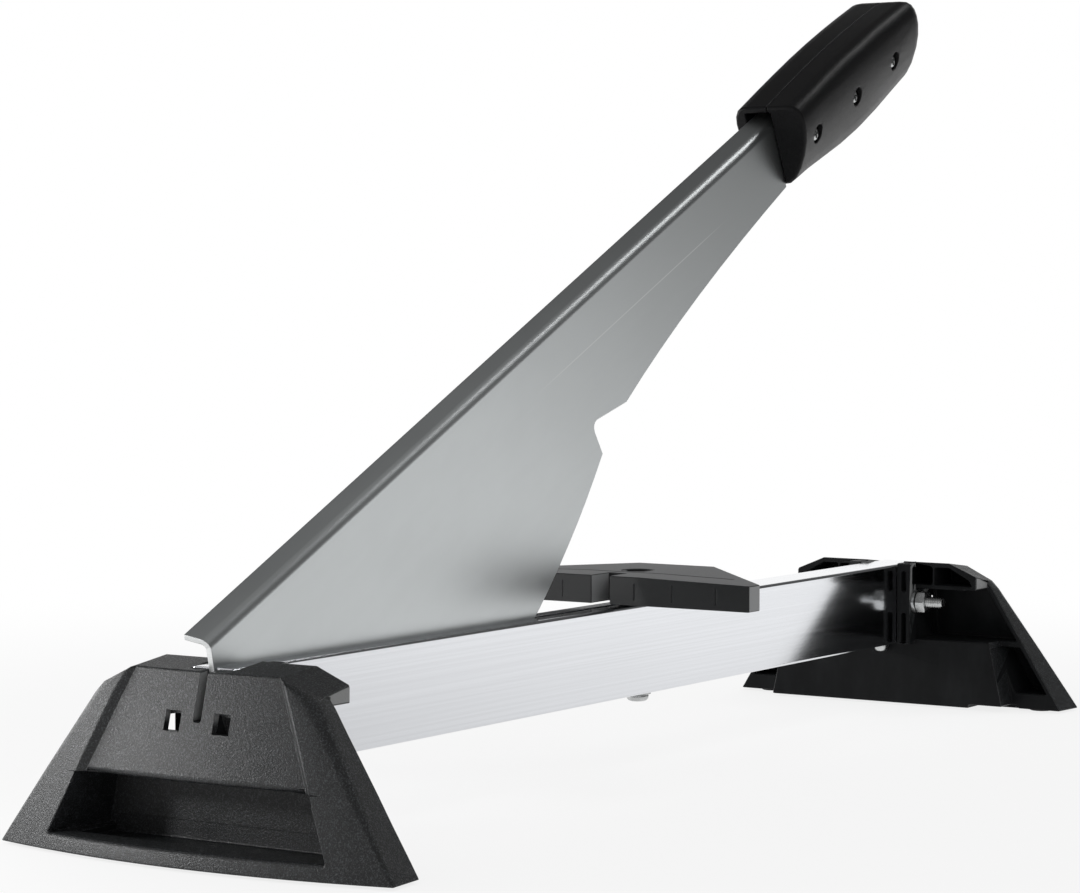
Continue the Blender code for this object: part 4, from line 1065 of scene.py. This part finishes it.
class CUTTER_OT_screws(bpy.types.Operator):
    """Put the pan-headed screws in the grip and under the bar"""
    bl_idname = "cutter.screws"
    bl_label = "Screws"

    def execute(self, context):
        count = sizes().grip_screws
        names = [f"handle_screw_{number}" for number in range(1, count + 1)]
        low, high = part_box(names[0])
        shape = screw_shape("grip_screw_shape", high.z - low.z, GRIP_SCREW_HEAD, GRIP_SCREW_SHANK,
                            high.y - low.y - GRIP_SCREW_HEAD, GRIP_SCREW_RECESS)
        first, last = centre_of(names[0]), centre_of(names[-1])
        first.y = last.y = low.y + GRIP_SCREW_HEAD
        step = (last - first) / (count - 1)
        turn = (-math.pi / 2, -LEVER_TILT, 0.0)
        obj = row("grip_screws", shape, zinc_plate(), first, step, count, turn)
        settle(obj, body_of(names[0]), "zinc_steel", *names)
        for node, head_height, shank in UNDER_SCREWS:
            low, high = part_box(node)
            head = high.x - low.x
            shape = screw_shape(node + "_shape", head, head_height, shank,
                                high.z - low.z - head_height, head * 0.6)
            place = centre_of(node)
            place.z = low.z + head_height
            obj = row(node + "_turned", shape, zinc_plate(), place)
            settle(obj, body_of(node), "zinc_steel", node)
        refinish(zinc_plate(), "fence_nut", "fence_washer")
        return {'FINISHED'}


class CUTTER_OT_stage(bpy.types.Operator):
    """Set up the floor, the light and the camera"""
    bl_idname = "cutter.stage"
    bl_label = "Stage"

    def execute(self, context):
        scene = context.scene
        scene.view_settings.view_transform = 'Standard'
        bm = bmesh.new()
        bmesh.ops.create_grid(bm, x_segments=1, y_segments=1, size=FLOOR_SIZE)
        floor = new_object("studio_floor", mesh_from(bm, "studio_floor"))
        floor.location.z = -FLOOR_DROP
        floor.data.materials.append(floor_material())
        studio_world()
        for light in LIGHTS:
            soft_box(*light)
        camera = bpy.data.cameras.new("photo_camera")
        camera.lens, camera.sensor_width, camera.clip_end = CAMERA_LENS, SENSOR_WIDTH, FAR_CLIP
        obj = bpy.data.objects.new("photo_camera", camera)
        scene.collection.objects.link(obj)
        level = math.cos(CAMERA_PITCH)
        ahead = Vector((level * math.cos(CAMERA_YAW), level * math.sin(CAMERA_YAW),
                        math.sin(CAMERA_PITCH)))
        aim(obj, CAMERA_PLACE, CAMERA_PLACE + ahead)
        scene.camera = obj
        return {'FINISHED'}


class CUTTER_PT_pieces(bpy.types.Panel):
    """The cutter's pieces and settings"""
    bl_label = "Laminate cutter"
    bl_space_type = 'VIEW_3D'
    bl_region_type = 'UI'
    bl_category = "Cutter"

    def draw(self, context):
        for operator in OPERATORS:
            self.layout.operator(operator.bl_idname)
        for group in (context.scene.cutter_sizes, context.scene.cutter_colours):
            column = self.layout.column()
            for name in group.bl_rna.properties.keys():
                if name not in {"rna_type", "name"}:
                    column.prop(group, name)


OPERATORS = (CUTTER_OT_feet, CUTTER_OT_pads, CUTTER_OT_bar, CUTTER_OT_blade, CUTTER_OT_grip,
             CUTTER_OT_stop, CUTTER_OT_cross_bolts, CUTTER_OT_screws, CUTTER_OT_stage)
CLASSES = (CutterSizes, CutterColours, *OPERATORS, CUTTER_PT_pieces)


def register():
    for cls in CLASSES:
        bpy.utils.register_class(cls)
    bpy.types.Scene.cutter_sizes = PointerProperty(type=CutterSizes)
    bpy.types.Scene.cutter_colours = PointerProperty(type=CutterColours)


def unregister():
    del bpy.types.Scene.cutter_colours
    del bpy.types.Scene.cutter_sizes
    for cls in reversed(CLASSES):
        bpy.utils.unregister_class(cls)


def main():
    register()
    bpy.ops.cutter.stage()
    bpy.ops.cutter.feet()
    bpy.ops.cutter.pads()
    bpy.ops.cutter.bar()
    bpy.ops.cutter.blade()
    bpy.ops.cutter.grip()
    bpy.ops.cutter.stop()
    bpy.ops.cutter.cross_bolts()
    bpy.ops.cutter.screws()


if __name__ == "__main__":
    main()
